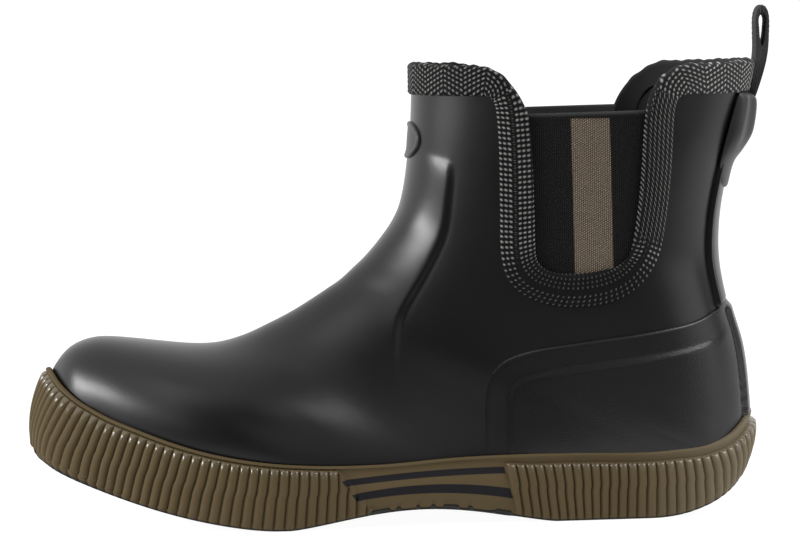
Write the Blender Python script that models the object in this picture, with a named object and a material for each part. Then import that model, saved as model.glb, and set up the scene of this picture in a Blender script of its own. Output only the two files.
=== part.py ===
"""Left rubber ankle boot with elastic sides, a ribbed cup sole and a woven collar tape.

Frame: +X to the toe, +Y to the wearer's left (the outer side), +Z up, floor at z = 0.
Sizes below are in millimetres and become metres when a mesh is made.
"""
from functools import lru_cache

import bmesh
import bpy
import numpy as np

MM = 0.001
BOX_CENTRE = (-2.0, 1.4, 0.0)
GAP = 0.3
WALL = 2.0

# Upper: one row for each section of the last, from the toe tip over the heel to the collar.
# A section runs from its back point on the bottom or back seam to its front point on the ridge.
SECTION_COLUMNS = (
    "back_x", "back_z", "front_x", "front_z", "half_width", "bottom_half_width",
    "centre_y", "widest_at", "front_round", "back_round", "back_power")
SECTIONS = (
    (135.0, 32.0, 131.4, 57.5, 0.0, 0.0, -6.0, 0.42, 2.2, 2.0, 1.00),
    (128.5, 28.0, 125.8, 65.2, 17.5, 16.0, -6.0, 0.42, 2.2, 2.0, 1.00),
    (116.0, 22.5, 115.5, 69.5, 27.4, 25.0, -5.6, 0.40, 2.2, 2.0, 1.00),
    (99.0, 15.5, 103.0, 69.1, 36.0, 33.5, -3.6, 0.36, 2.2, 2.0, 1.00),
    (75.0, 10.0, 90.0, 67.8, 42.6, 40.0, -0.8, 0.34, 2.1, 2.0, 1.00),
    (40.0, 9.0, 78.5, 66.9, 45.0, 42.0, 1.6, 0.30, 2.0, 2.0, 1.00),
    (5.0, 11.5, 68.5, 67.3, 41.5, 37.0, 2.8, 0.28, 2.0, 2.0, 1.00),
    (-35.0, 13.0, 58.5, 69.9, 36.8, 32.5, 2.2, 0.26, 2.0, 2.0, 1.00),
    (-72.0, 11.5, 49.0, 74.0, 35.4, 30.5, 1.0, 0.30, 2.0, 2.0, 1.00),
    (-102.0, 11.5, 40.0, 78.4, 35.2, 28.0, 0.3, 0.34, 2.0, 2.2, 0.90),
    (-123.0, 12.5, 32.5, 82.8, 35.2, 19.0, 0.0, 0.36, 2.0, 2.4, 0.65),
    (-133.0, 17.0, 26.5, 86.6, 35.3, 0.0, 0.0, 0.38, 2.0, 2.5, 0.42),
    (-135.2, 32.0, 21.0, 90.2, 35.4, -19.0, 0.0, 0.40, 2.0, 2.5, 0.42),
    (-134.6, 47.0, 16.2, 94.4, 35.6, -20.0, 0.0, 0.42, 2.0, 2.5, 0.42),
    (-132.5, 63.0, 11.0, 99.3, 36.0, -20.0, 0.0, 0.44, 2.0, 2.4, 0.42),
    (-127.8, 79.0, 5.6, 105.6, 36.8, -20.0, 0.0, 0.45, 2.1, 2.4, 0.42),
    (-124.6, 96.0, 1.0, 112.4, 38.0, -20.0, 0.0, 0.46, 2.1, 2.3, 0.44),
    (-124.6, 112.0, -2.0, 119.6, 39.6, -20.0, 0.0, 0.47, 2.2, 2.3, 0.44),
    (-127.4, 129.0, -4.1, 130.6, 41.2, -20.0, 0.0, 0.48, 2.2, 2.3, 0.44),
    (-132.2, 146.0, -6.0, 146.0, 42.4, -20.0, 0.0, 0.49, 2.2, 2.3, 0.44),
    (-136.2, 161.0, -7.1, 161.0, 43.0, -20.0, 0.0, 0.50, 2.2, 2.3, 0.44),
    (-138.2, 171.0, -7.1, 171.0, 43.3, -20.0, 0.0, 0.50, 2.2, 2.3, 0.44),
    (-139.8, 181.0, -7.1, 181.0, 43.5, -20.0, 0.0, 0.50, 2.2, 2.3, 0.44))
TOE_BOX_X = 100.0
HEEL_ROW = 11.0
COLLAR_ROW = 21.0
ROW_STEPS = (3, 2, 2, 2, 2, 2, 2, 2, 1, 1, 2, 1, 1, 2, 2, 2, 2, 2, 1, 1, 1)
UPPER_COLUMNS = 28
SECTION_POINTS = 48

# Trough beside the raised instep, seen from the side.
TROUGH = ((-9.0, 138.0), (-14.5, 130.0), (-16.5, 120.0), (-15.6, 108.0), (-11.0, 97.0),
          (-4.5, 88.0), (0.0, 76.0))
TROUGH_DEPTH = 1.5
TROUGH_WIDTH = 4.5

# Sole: height of its top edge and of its underside along the length.
RIM = ((-140.0, 38.0), (-134.0, 34.0), (-127.0, 29.3), (-117.0, 26.3), (-102.0, 25.2),
       (-60.0, 25.0), (-20.0, 24.4), (12.0, 22.6), (38.0, 23.2), (60.0, 25.6), (80.0, 29.8),
       (100.0, 36.0), (115.0, 41.2), (124.0, 46.0), (129.0, 50.6), (132.5, 56.0))
TOE_SPRING_START = 50.0
TOE_SPRING_END = 134.0
TOE_SPRING = 20.5
TOE_SPRING_POWER = 1.58
ARCH_FRONT = 36.0
ARCH_BACK = -62.0
ARCH_HEIGHT = 7.2
HEEL_ROUND_START = -94.0
HEEL_ROUND_END = -134.5
HEEL_ROUND = 12.5

RIB_PITCH = 3.85
RIB_DEPTH = 1.2
PANEL_TOP = (25.5, -37.0)
PANEL_BOTTOM = (18.0, -41.5)
RIB_SHAPE = (0.0, 0.5)
RIB_CRESTS = (1,)
SOLE_GAP = 0.5
CUP_FLOOR_GAP = 2.0
CONTOUR_POINTS = 160
NORMAL_SMOOTHING = 6

# Sole wall: sizes given as (side, toe, heel) and the stretches of x where they change.
TOE_END = (92.0, 132.0)
HEEL_END = (-104.0, -138.0)
RIM_BAND = (2.2, 2.6, 4.2)
WALL_COLUMNS = ("passed", "out", "lift", "ribbed")
WALL_RINGS = (
    (-1.0, (2.6, 3.0, 2.4), 0.0, False),
    (0.0, (3.8, 4.4, 3.8), 0.0, True),
    (0.5, (5.0, 9.6, 4.2), 0.0, True),
    (1.0, (4.0, 4.8, -0.5), 2.0, True),
    (1.0, (1.2, 0.6, -4.0), 0.0, False))

# Side notch: the upper's cut edge and the far edge of the tape along it, front to back, side view.
TAPE_COLUMNS = ("edge_x", "edge_z", "far_x", "far_z")
TAPE = (
    (-29.0, 171.0, -29.0, 161.0), (-34.0, 169.8, -32.5, 161.0), (-39.0, 164.8, -34.2, 159.8),
    (-44.0, 159.0, -35.4, 157.0), (-46.8, 152.5, -36.1, 152.0), (-47.8, 138.0, -36.8, 138.0),
    (-48.4, 118.0, -36.9, 118.0), (-49.3, 104.0, -37.6, 102.5), (-51.4, 98.0, -41.0, 90.6),
    (-55.5, 94.2, -47.5, 85.2), (-62.0, 92.7, -57.5, 82.0), (-69.0, 92.9, -68.0, 81.4),
    (-77.0, 94.2, -79.5, 83.8), (-83.0, 96.6, -89.0, 89.4), (-87.0, 102.5, -95.3, 99.5),
    (-89.2, 116.0, -98.0, 113.5), (-90.4, 132.0, -99.7, 131.0), (-91.3, 148.0, -100.4, 148.0),
    (-92.7, 157.0, -101.3, 155.6), (-95.4, 163.2, -102.9, 159.2), (-99.5, 167.8, -105.2, 160.7),
    (-104.0, 170.3, -108.0, 161.0), (-109.0, 171.0, -110.5, 161.0))
TAPE_STEPS = 2
TAPE_FRONT_STEPS = 7
TAPE_BACK_STEPS = 6
TAPE_LOW_ROW = 20.0
TAPE_THICK = 1.0
NOTCH_TOP = 185.0
NOTCH_RISE = 0.8
NOTCH_REACH = 60.0
NOTCH_ENDS = (-26.0, -112.0)

# Elastic side panel: its hidden lower edge behind the upper and its straight top.
GORE_BOTTOM = ((-97.0, 112.0), (-94.5, 101.0), (-88.0, 92.5), (-80.0, 88.8), (-68.0, 87.0),
               (-56.0, 88.4), (-48.0, 92.0), (-43.5, 100.0), (-41.5, 112.0))
GORE_TOP = 155.6
GORE_GAP = 0.5
GORE_THICK = 1.5
GORE_COLUMNS = 11
GORE_ROWS = 6

# Heel counter: its edge seen from the side, and the step inside it.
COUNTER_EDGE = ((-29.8, 20.0), (-29.8, 46.0), (-32.0, 54.0), (-38.0, 59.4), (-51.0, 64.0),
                (-74.0, 68.2), (-94.0, 71.8), (-111.0, 75.4), (-121.0, 79.6), (-130.0, 83.6))
COUNTER_ROWS = (7.6, 15.1)
COUNTER_ROW_COUNTS = (13, 9)
COUNTER_COLUMNS = 8
COUNTER_CROWDING = 0.6
COUNTER_REACH = 4.5
COUNTER_LIFT = 1.6
COUNTER_GAP = 0.9
COUNTER_THICK = 1.0
COUNTER_STEP = 0.8
COUNTER_STEP_AT = (7.0, 10.0)
SPINE_RISE = 0.6
SPINE_HALF = 8.5

STRAP_ROWS = (15.5, 19.85, 12)
STRAP_HALF = (16.5, 18.5)
STRAP_THICK = 1.0
STRAP_COLUMNS = 8

# Heel tab: height, half-width and thickness, top to bottom.
TAB_COLUMNS = ("z", "half_width", "thick")
TAB = ((159.6, 18.6, 2.6), (156.0, 19.0, 3.2), (148.0, 19.4, 3.9), (140.0, 19.6, 3.6),
       (135.0, 19.4, 2.0), (130.0, 18.0, 1.1), (126.5, 14.5, 1.0), (124.4, 9.0, 0.9))
TAB_EDGE = 0.45
TAB_STEPS = 8

# Pull loop: outer outline and slot, in matched pairs, seen from the side.
LOOP_COLUMNS = ("outer_x", "outer_z", "slot_x", "slot_z")
LOOP = (
    (-138.6, 160.6, -142.6, 176.6), (-139.7, 168.0, -142.2, 177.6), (-140.2, 176.0, -141.9, 179.6),
    (-139.9, 184.0, -141.7, 184.0), (-140.1, 189.5, -141.9, 188.5), (-141.2, 192.8, -142.4, 190.6),
    (-143.0, 194.2, -143.1, 191.4), (-144.9, 192.9, -143.8, 190.6), (-145.9, 189.5, -144.2, 188.5),
    (-146.0, 184.0, -144.2, 184.0), (-145.6, 176.0, -144.0, 179.6), (-144.0, 168.0, -143.4, 177.6),
    (-141.4, 160.6, -142.9, 176.6))
LOOP_HALF_WIDTH = 9.0

BUTTON_ROW = 18.85
BUTTON_HALF = (15.5, 7.2)
BUTTON_THICK = 1.4
BUTTON_SEGMENTS = 20
BUTTON_COLUMNS = ("size", "rise")
BUTTON_RINGS = ((0.5, 0.0), (1.0, 0.0), (1.0, 0.6), (0.86, 1.0), (0.45, 1.0))

# Tread: bars cut across the underside, clear of the two resting pads.
TREAD_X = (-118.0, -107.0, -58.0, -47.0, -36.0, 9.0, 18.0, 58.0, 69.0, 80.0, 91.0, 102.0, 113.0)
TREAD_WIDTH = 3.5
TREAD_DEPTH = 2.5
TREAD_EDGE = 7.0

INSOLE_POINTS = 48
INSOLE_INSET = 4.2
INSOLE_THICK = 4.0
INSOLE_ROUND = 1.0


def material(name, colour, roughness):
    """A plain finish for a piece."""
    finish = bpy.data.materials.new(name)
    finish.use_nodes = True
    shader = finish.node_tree.nodes["Principled BSDF"]
    shader.inputs["Base Color"].default_value = (*colour, 1.0)
    shader.inputs["Roughness"].default_value = roughness
    return finish


def smooth_step(low, high, value):
    t = np.clip((value - low) / (high - low), 0.0, 1.0)
    return t * t * (3.0 - 2.0 * t)


def smooth_table(table, value):
    """A smooth curve through a table of pairs."""
    x, y = np.array(table, float).T
    slope = np.gradient(y, x)
    value = np.clip(value, x[0], x[-1])
    i = np.clip(np.searchsorted(x, value) - 1, 0, len(x) - 2)
    step = x[i + 1] - x[i]
    t = (value - x[i]) / step
    return ((2 * t**3 - 3 * t**2 + 1) * y[i] + (t**3 - 2 * t**2 + t) * step * slope[i]
            + (3 * t**2 - 2 * t**3) * y[i + 1] + (t**3 - t**2) * step * slope[i + 1])


def section_values(row):
    """The section columns at a row number, which may lie between two rows of the table."""
    table = np.array(SECTIONS, float)
    mirrored = table[1] * [1, 1, 1, 1, -1, -1, 1, 1, 1, 1, 1]
    table = np.vstack([mirrored, table, 2 * table[-1] - table[-2]])
    i = int(np.clip(np.floor(row), -1, len(SECTIONS) - 2))
    t = row - i
    a, b, c, d = (table[max(i + k, 0)] for k in range(4))
    if i < 0:
        a = table[3] * [1, 1, 1, 1, -1, -1, 1, 1, 1, 1, 1]
    values = b + 0.5 * t * (c - a + t * (2 * a - 5 * b + 4 * c - d + t * (3 * (b - c) + d - a)))
    return dict(zip(SECTION_COLUMNS, values))


@lru_cache(maxsize=None)
def section_side(row):
    """One half of a section from its ridge to its bottom: share of length, (x, z) and half-width."""
    v = section_values(row)
    angle = np.linspace(0.0, np.pi / 2, SECTION_POINTS)
    bottom = v["bottom_half_width"] if row < HEEL_ROW else 0.0
    rise = np.cos(angle) ** (2 / v["front_round"])
    height = v["widest_at"] + (1 - v["widest_at"]) * rise
    width = v["half_width"] * np.sin(angle) ** (2 / v["front_round"])
    fall = np.sin(angle[1:])
    low = np.clip(1 - fall ** v["back_round"], 0.0, 1.0) ** v["back_power"]
    height = np.append(height, v["widest_at"] * (1 - fall))
    width = np.append(width, bottom + (v["half_width"] - bottom) * low)
    back = np.array([v["back_x"], v["back_z"]])
    front = np.array([v["front_x"], v["front_z"]])
    place = back + height[:, None] * (front - back)
    steps = np.hypot(np.hypot(*np.diff(place, axis=0).T), np.diff(width))
    share = np.append(0.0, np.cumsum(steps))
    return share / share[-1], place, width, v["centre_y"], height, share[-1]


def bare_point(row, around):
    """A point of the last's surface: around is 0 on the ridge and +1 or -1 at the bottom or back."""
    if abs(around) > 1:
        around = around - 2 * np.sign(around) if row >= HEEL_ROW else np.sign(around)
    share, place, width, centre, _, _ = section_side(round(float(row), 6))
    side = 1.0 if around >= 0 else -1.0
    at = abs(around)
    return np.array([np.interp(at, share, place[:, 0]), centre + side * np.interp(at, share, width),
                     np.interp(at, share, place[:, 1])])


def outward(row, around):
    """The unit normal of the last's surface."""
    step_row, step_around = 0.06, 0.02
    last = len(SECTIONS) - 1
    if abs(around) < step_around:
        row = max(row, 2 * step_row)
    along = bare_point(min(row + step_row, last), around) - bare_point(row - step_row, around)
    across = bare_point(row, around + step_around) - bare_point(row, around - step_around)
    normal = np.cross(along, across)
    v = section_values(row)
    middle_x = min(0.55 * v["back_x"] + 0.45 * v["front_x"], TOE_BOX_X)
    middle = np.array([middle_x, v["centre_y"], 0.55 * v["back_z"] + 0.45 * v["front_z"]])
    normal /= np.linalg.norm(normal)
    return normal if np.dot(normal, bare_point(row, around) - middle) > 0 else -normal


def distance_to_line(line, x, z):
    """Distance from a point to a line of points seen from the side, and the share passed along it."""
    line = np.array(line, float)
    start, run = line[:-1], np.diff(line, axis=0)
    length = np.hypot(*run.T)
    along = np.clip(((x - start[:, 0]) * run[:, 0] + (z - start[:, 1]) * run[:, 1]) / length**2, 0, 1)
    gap = np.hypot(x - start[:, 0] - along * run[:, 0], z - start[:, 1] - along * run[:, 1])
    i = int(np.argmin(gap))
    return gap[i], (np.sum(length[:i]) + along[i] * length[i]) / np.sum(length)


def skin(row, around, offset):
    """A point at an offset from the outer face of the upper."""
    point = bare_point(row, around)
    gap, passed = distance_to_line(TROUGH, point[0], point[2])
    depth = TROUGH_DEPTH * np.exp(-(gap / TROUGH_WIDTH) ** 2) * np.sin(np.pi * passed) ** 0.5
    return point + outward(row, around) * (offset - depth)


def new_object(name, points, faces, finish):
    """A named mesh object from points in millimetres, with its faces turned outwards."""
    mesh = bpy.data.meshes.new(name)
    placed = (np.array(points, float) - BOX_CENTRE) * MM
    mesh.from_pydata(placed.tolist(), [], faces)
    work = bmesh.new()
    work.from_mesh(mesh)
    bmesh.ops.recalc_face_normals(work, faces=work.faces)
    work.to_mesh(mesh)
    work.free()
    mesh.materials.append(finish)
    mesh.shade_smooth()
    mesh.set_sharp_from_angle(angle=0.6)
    body = bpy.data.objects.new(name, mesh)
    bpy.context.collection.objects.link(body)
    return body


def upper_rows():
    """Row numbers of the upper's mesh, from the toe tip to the collar."""
    rows = [i + k / n for i, n in enumerate(ROW_STEPS) for k in range(n)]
    return rows + [COLLAR_ROW]


def make_upper(finish):
    """The hollow shell: an outer and an inner sheet joined at the bottom edge and the collar."""
    rows = upper_rows()
    columns = np.linspace(-1.0, 1.0, UPPER_COLUMNS + 1)
    points, index = [], {}
    for layer, offset in enumerate((0.0, -WALL)):
        for i, row in enumerate(rows):
            for j, around in enumerate(columns):
                twin = UPPER_COLUMNS - j
                if (row == 0 and j > twin) or (row >= HEEL_ROW and j == UPPER_COLUMNS):
                    index[layer, i, j] = index[layer, i, twin]
                    continue
                index[layer, i, j] = len(points)
                points.append(skin(row, around, offset))
    faces = []
    for layer in (0, 1):
        for i in range(len(rows) - 1):
            for j in range(UPPER_COLUMNS):
                ring = (index[layer, i, j], index[layer, i, j + 1],
                        index[layer, i + 1, j + 1], index[layer, i + 1, j])
                faces.append(ring[::-1] if layer else ring)
    edges = [((len(rows) - 1, j), (len(rows) - 1, j + 1)) for j in range(UPPER_COLUMNS)]
    open_rows = [i for i, row in enumerate(rows) if row < HEEL_ROW]
    for j in (0, UPPER_COLUMNS):
        edges += [((i, j), (i + 1, j)) for i in open_rows]
    for a, b in edges:
        faces.append((index[(0, *a)], index[(0, *b)], index[(1, *b)], index[(1, *a)]))
    return new_object("upper", points, faces, finish)


def closing_row(level):
    """The row whose back point lies on a level behind the heel."""
    low, high = HEEL_ROW, HEEL_ROW + 3.0
    for _ in range(40):
        row = 0.5 * (low + high)
        v = section_values(row)
        low, high = (row, high) if v["back_z"] < level(v["back_x"]) else (low, row)
    return row


def contour(level, offset):
    """The upper's outline where it meets a level, heel to toe on the outer side and back on the inner.

    A level of None is the upper's own bottom edge.
    """
    heel = closing_row(level) if level else HEEL_ROW
    rows = heel - np.linspace(0.0, heel**0.5, CONTOUR_POINTS) ** 2
    halves = []
    for side in (1.0, -1.0):
        half = []
        for row in rows:
            row = max(float(row), 0.0)
            share, place, *_ = section_side(round(row, 6))
            at = 1.0
            if level:
                above = place[:, 1] - level(place[:, 0])
                i = int(np.argmax(above < 0)) if (above < 0).any() else len(share) - 1
                at = share[i - 1] + (share[i] - share[i - 1]) * above[i - 1] / (above[i - 1] - above[i])
            half.append(skin(row, side * min(at, 1.0), offset))
        halves.append(np.array(half))
    return np.vstack([halves[0], halves[1][-2::-1]])


def even_loop(points, count):
    """The same number of evenly spaced points on each side of a closed outline, heel first."""
    middle = len(points) // 2
    sides = []
    for half in (points[:middle + 1], points[middle:]):
        run = np.append(0.0, np.cumsum(np.linalg.norm(np.diff(half, axis=0), axis=1)))
        at = np.linspace(0.0, run[-1], count // 2 + 1)[:-1]
        sides.append(np.array([np.interp(at, run, half[:, k]) for k in range(3)]).T)
    return np.vstack(sides)


def plan_normals(loop):
    """Outward unit normals in plan of a closed loop of evenly spaced points."""
    tangent = np.roll(loop, -1, axis=0) - np.roll(loop, 1, axis=0)
    normal = np.stack([-tangent[:, 1], tangent[:, 0]], axis=1)
    for _ in range(NORMAL_SMOOTHING):
        normal = (np.roll(normal, 1, axis=0) + 2 * normal + np.roll(normal, -1, axis=0)) / 4
    return normal / np.linalg.norm(normal, axis=1, keepdims=True)


def rim_height(x):
    return smooth_table(RIM, x)


def sole_bottom(x):
    """Height of the underside: toe spring, arch and rounded heel."""
    toe = np.clip((x - TOE_SPRING_START) / (TOE_SPRING_END - TOE_SPRING_START), 0.0, None)
    arch = np.clip((x - ARCH_BACK) / (ARCH_FRONT - ARCH_BACK), 0.0, 1.0)
    heel = np.clip((x - HEEL_ROUND_START) / (HEEL_ROUND_END - HEEL_ROUND_START), 0.0, None)
    return (TOE_SPRING * toe**TOE_SPRING_POWER + ARCH_HEIGHT * np.sin(np.pi * arch) ** 2
            + HEEL_ROUND * heel**2)


def by_end(x, side, toe, heel):
    """A size that changes from the sides of the sole to its toe and to its heel."""
    return (side + (toe - side) * smooth_step(*TOE_END, x) + (heel - side) * smooth_step(*HEEL_END, x))


def in_panel(x, passed):
    """True on the plain midfoot panel, at a share of the wall's height from its top."""
    front = PANEL_TOP[0] + (PANEL_BOTTOM[0] - PANEL_TOP[0]) * passed
    back = PANEL_TOP[1] + (PANEL_BOTTOM[1] - PANEL_TOP[1]) * passed
    return (x < front) & (x > back)


def wall_ring(rim, share, ring):
    """One ring of the sole's outer wall at shares of the way round, from a row of the wall table."""
    count = len(rim)
    normals = plan_normals(rim)
    step = np.linalg.norm(np.diff(rim, axis=0, append=rim[:1]), axis=1)
    slope = (np.roll(rim[:, 2], -1) - np.roll(rim[:, 2], 1)) / (2 * step)
    position = np.arange(count + 1) / count

    def at(values, where):
        return np.interp(where % 1.0, position, np.append(values, values[0]))

    x0 = at(rim[:, 0], share)
    top = rim_height(x0) - by_end(x0, *RIM_BAND)
    depth = ring["passed"] * (top - sole_bottom(x0))
    lean = at(slope, share) * depth / (step.mean() * count)
    where = share + lean
    base = np.stack([at(rim[:, 0], where), at(rim[:, 1], where)], axis=1)
    normal = np.stack([at(normals[:, 0], where), at(normals[:, 1], where)], axis=1)
    out = by_end(x0, *ring["out"])
    if ring["ribbed"]:
        crest = np.isin(np.arange(len(share)) % len(RIB_SHAPE), RIB_CRESTS)
        out = out - RIB_DEPTH * np.where(crest & ~in_panel(base[:, 0], ring["passed"]), 0.0, 1.0)
    plan = base + normal * out[:, None]
    floor = sole_bottom(plan[:, 0])
    height = np.maximum(top - depth, floor + ring["lift"]) if ring["passed"] < 1 else floor + ring["lift"]
    if ring["passed"] < 0:
        height = rim_height(x0) - GAP
    return np.column_stack([plan, height])


def stitch(low, high, ratio=1):
    """Faces between two closed rings of point numbers, the second with ratio times as many points."""
    faces = []
    count = len(low)
    for k in range(count):
        a, b = low[k], low[(k + 1) % count]
        fan = [high[(k * ratio + m) % len(high)] for m in range(ratio + 1)]
        half = (ratio + 1) // 2
        faces += [(a, fan[m + 1], fan[m]) for m in range(half)]
        faces.append((a, b, fan[half]))
        faces += [(b, fan[m + 1], fan[m]) for m in range(half, ratio)]
    return faces


def across(ring, upwards):
    """Strips that close a ring from its outer side to its inner side, heel to toe."""
    count = len(ring)
    faces = []
    for k in range(count // 2):
        a, b = ring[k], ring[k + 1]
        c, d = ring[(count - k) % count], ring[count - k - 1]
        face = tuple(dict.fromkeys((a, b, d, c)))
        faces.append(face if upwards else face[::-1])
    return faces


def make_outsole(finish):
    """The cup sole: floor, inner wall that hugs the upper, rim, ribbed outer wall and underside."""
    rim_dense = contour(rim_height, SOLE_GAP)
    length = np.linalg.norm(np.diff(rim_dense, axis=0), axis=1).sum()
    count = 4 * round(length / RIB_PITCH / 4)
    rim = even_loop(rim_dense, count)
    edge = even_loop(contour(None, CUP_FLOOR_GAP), count // 2)
    middle = even_loop(contour(cup_middle, 2 * SOLE_GAP), count // 2)
    coarse = np.arange(count) / count
    fine = ((np.arange(count)[:, None] + np.array(RIB_SHAPE)) / count).ravel()
    floor = edge - [0.0, 0.0, SOLE_GAP]
    rings = [floor, middle, rim]
    for row in WALL_RINGS:
        ring = dict(zip(WALL_COLUMNS, row))
        rings.append(wall_ring(rim, fine if ring["ribbed"] else coarse, ring))
    points = np.vstack(rings)
    start = np.append(0, np.cumsum([len(r) for r in rings]))
    numbers = [list(range(start[i], start[i + 1])) for i in range(len(rings))]
    faces = across(numbers[0], True) + across(numbers[-1], False)
    for low, high in zip(numbers, numbers[1:]):
        if len(low) <= len(high):
            faces += stitch(low, high, len(high) // len(low))
        else:
            faces += [face[::-1] for face in stitch(high, low, len(low) // len(high))]
    body = new_object("outsole", points, faces, finish)
    cut(body, tread_cutter(rings[-1]))
    return body


def tread_cutter(edge):
    """Bars across the underside, each ending short of its edge."""
    half = len(edge) // 2
    points, faces = [], []
    for x in TREAD_X:
        outer = np.interp(x, edge[:half, 0], edge[:half, 1]) - TREAD_EDGE
        inner = np.interp(x, edge[:half:-1, 0], edge[:half:-1, 1]) + TREAD_EDGE
        low, high = sole_bottom(x) - TREAD_WIDTH, sole_bottom(x) + TREAD_DEPTH
        first = len(points)
        points += [(x + dx, y, z) for z in (low, high)
                   for dx, y in ((-TREAD_WIDTH / 2, inner), (TREAD_WIDTH / 2, inner),
                                 (TREAD_WIDTH / 2, outer), (-TREAD_WIDTH / 2, outer))]
        faces += [tuple(first + k for k in face) for face in
                  ((3, 2, 1, 0), (4, 5, 6, 7), (0, 1, 5, 4), (1, 2, 6, 5), (2, 3, 7, 6), (3, 0, 4, 7))]
    return hide(new_object("tread_cutter", points, faces, bpy.data.materials[0]))


def hide(body):
    """Mark a cutter."""
    body.hide_render = True
    body.display_type = "WIRE"
    return body


def cup_middle(x):
    """The height halfway between the upper's bottom edge and the sole's rim."""
    table = np.array(SECTIONS)[int(HEEL_ROW)::-1]
    return 0.5 * (rim_height(x) + np.interp(x, table[:, 0], table[:, 1]))


def make_insole(finish):
    """The footbed, standing on the cup's floor inside the upper's wall."""
    edge = even_loop(contour(None, 0.0), INSOLE_POINTS)
    normals = plan_normals(edge)
    rings = []
    rounded = INSOLE_INSET + INSOLE_ROUND
    for inset, lift in ((rounded, GAP - SOLE_GAP), (INSOLE_INSET, INSOLE_ROUND),
                        (INSOLE_INSET, INSOLE_THICK - INSOLE_ROUND), (rounded, INSOLE_THICK - SOLE_GAP)):
        ring = edge + [0.0, 0.0, lift]
        ring[:, :2] -= normals * inset
        rings.append(ring)
    points = np.vstack(rings)
    numbers = [list(range(k * INSOLE_POINTS, (k + 1) * INSOLE_POINTS)) for k in range(len(rings))]
    faces = across(numbers[0], False) + across(numbers[-1], True)
    for low, high in zip(numbers, numbers[1:]):
        faces += stitch(low, high)
    return new_object("insole", points, faces, finish)


def locate(x, z, side):
    """The row and the place around it of a point of the upper seen from the side."""
    low, high = 4.0, len(SECTIONS) - 1.0
    for _ in range(40):
        row = 0.5 * (low + high)
        v = section_values(row)
        run = (v["front_x"] - v["back_x"], v["front_z"] - v["back_z"])
        above = (x - v["back_x"]) * run[1] - (z - v["back_z"]) * run[0]
        low, high = (row, high) if above < 0 else (low, row)
    share, _, _, _, height, _ = section_side(round(row, 6))
    at = ((x - v["back_x"]) * run[0] + (z - v["back_z"]) * run[1]) / (run[0] ** 2 + run[1] ** 2)
    return np.array([row, side * np.interp(-at, -height, share)])


def smooth_rows(table, steps):
    """Rows of a table with smooth rows put between them."""
    table = np.array(table, float)
    rows = np.arange(len(table))
    fine = np.linspace(0, len(table) - 1, (len(table) - 1) * steps + 1)
    return np.array([smooth_table(list(zip(rows, column)), fine) for column in table.T]).T


def make_sheet(name, low, high, finish, closed_seam=None):
    """A solid between two grids of points; closed_seam tells which rows join at their middle."""
    rows, columns = len(low), len(low[0])
    points, index = [], {}
    for layer, grid in enumerate((low, high)):
        for i in range(rows):
            for j in range(columns):
                twin = closed_seam and closed_seam[i] and j == columns // 2
                if twin:
                    index[layer, i, j] = index[layer, i, j - 1]
                    continue
                index[layer, i, j] = len(points)
                points.append(grid[i][j])
    faces = []
    split = columns // 2 - 1 if closed_seam else None
    sides = [((i, j), (i, j + 1)) for i in (0, rows - 1) for j in range(columns - 1) if j != split]
    sides += [((i, j), (i + 1, j)) for j in (0, columns - 1) for i in range(rows - 1)]
    for i in range(rows - 1):
        for j in range(columns - 1):
            if j == split:
                continue
            for layer in (0, 1):
                ring = [index[layer, i, j], index[layer, i, j + 1],
                        index[layer, i + 1, j + 1], index[layer, i + 1, j]]
                faces.append(tuple(ring[::-1] if layer else ring))
        if closed_seam and not (closed_seam[i] and closed_seam[i + 1]):
            sides += [((i, j), (i + 1, j)) for j in (split, split + 1)]
    for a, b in sides:
        ring = (index[(0, *a)], index[(0, *b)], index[(1, *b)], index[(1, *a)])
        faces.append(tuple(dict.fromkeys(ring)))
    return new_object(name, points, faces, finish)


def tape_lines():
    """The cut edge and the far edge of the tape along the notch, each as points in x and z."""
    line = dict(zip(TAPE_COLUMNS, smooth_rows(TAPE, TAPE_STEPS).T))
    return list(zip(line["edge_x"], line["edge_z"])), list(zip(line["far_x"], line["far_z"]))


def tape_stations(side):
    """Edge and far places of the tape on one side, from the front middle to the back middle."""
    edge, far = ([locate(x, z, side) for x, z in line] for line in tape_lines())
    front = np.linspace(0.0, edge[0][1], TAPE_FRONT_STEPS)[:-1]
    back = np.linspace(edge[-1][1], side, TAPE_BACK_STEPS + 1)[1:]
    edge = [(COLLAR_ROW, a) for a in front] + edge + [(COLLAR_ROW, a) for a in back]
    far = [(TAPE_LOW_ROW, a) for a in front] + far + [(TAPE_LOW_ROW, a) for a in back]
    return np.array(edge), np.array(far)


def make_tape(finish):
    """The woven binding: a leg on the outer face and a cap over the edge, in one closed loop."""
    edge, far = tape_stations(1.0)
    edge_in, far_in = tape_stations(-1.0)
    edge = np.vstack([edge, edge_in[-2:0:-1]])
    far = np.vstack([far, far_in[-2:0:-1]])
    top = GAP + TAPE_THICK
    points = []
    for e, f in zip(edge, far):
        width = np.linalg.norm(skin(*e, 0.0) - skin(*f, 0.0))
        past = [e + (e - f) * reach / width for reach in (top, GAP)]
        points += [skin(*f, GAP), skin(*f, top), skin(*past[0], top), skin(*past[0], -WALL),
                   skin(*past[1], -WALL), skin(*past[1], GAP)]
    count = len(edge)
    faces = []
    for k in range(count):
        n = (k + 1) % count
        faces += [(6 * k + m, 6 * k + (m + 1) % 6, 6 * n + (m + 1) % 6, 6 * n + m) for m in range(6)]
    return new_object("collar_binding", points, faces, finish)


def prism(name, outline, low, high):
    """A cutter: an outline in x and z carried from one y to another."""
    count = len(outline)
    points = [(x, y, z) for y in (low, high) for x, z in outline]
    faces = [tuple(range(count)), tuple(range(2 * count - 1, count - 1, -1))]
    faces += [(k, (k + 1) % count, count + (k + 1) % count, count + k) for k in range(count)]
    return hide(new_object(name, points, faces, bpy.data.materials[0]))


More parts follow.
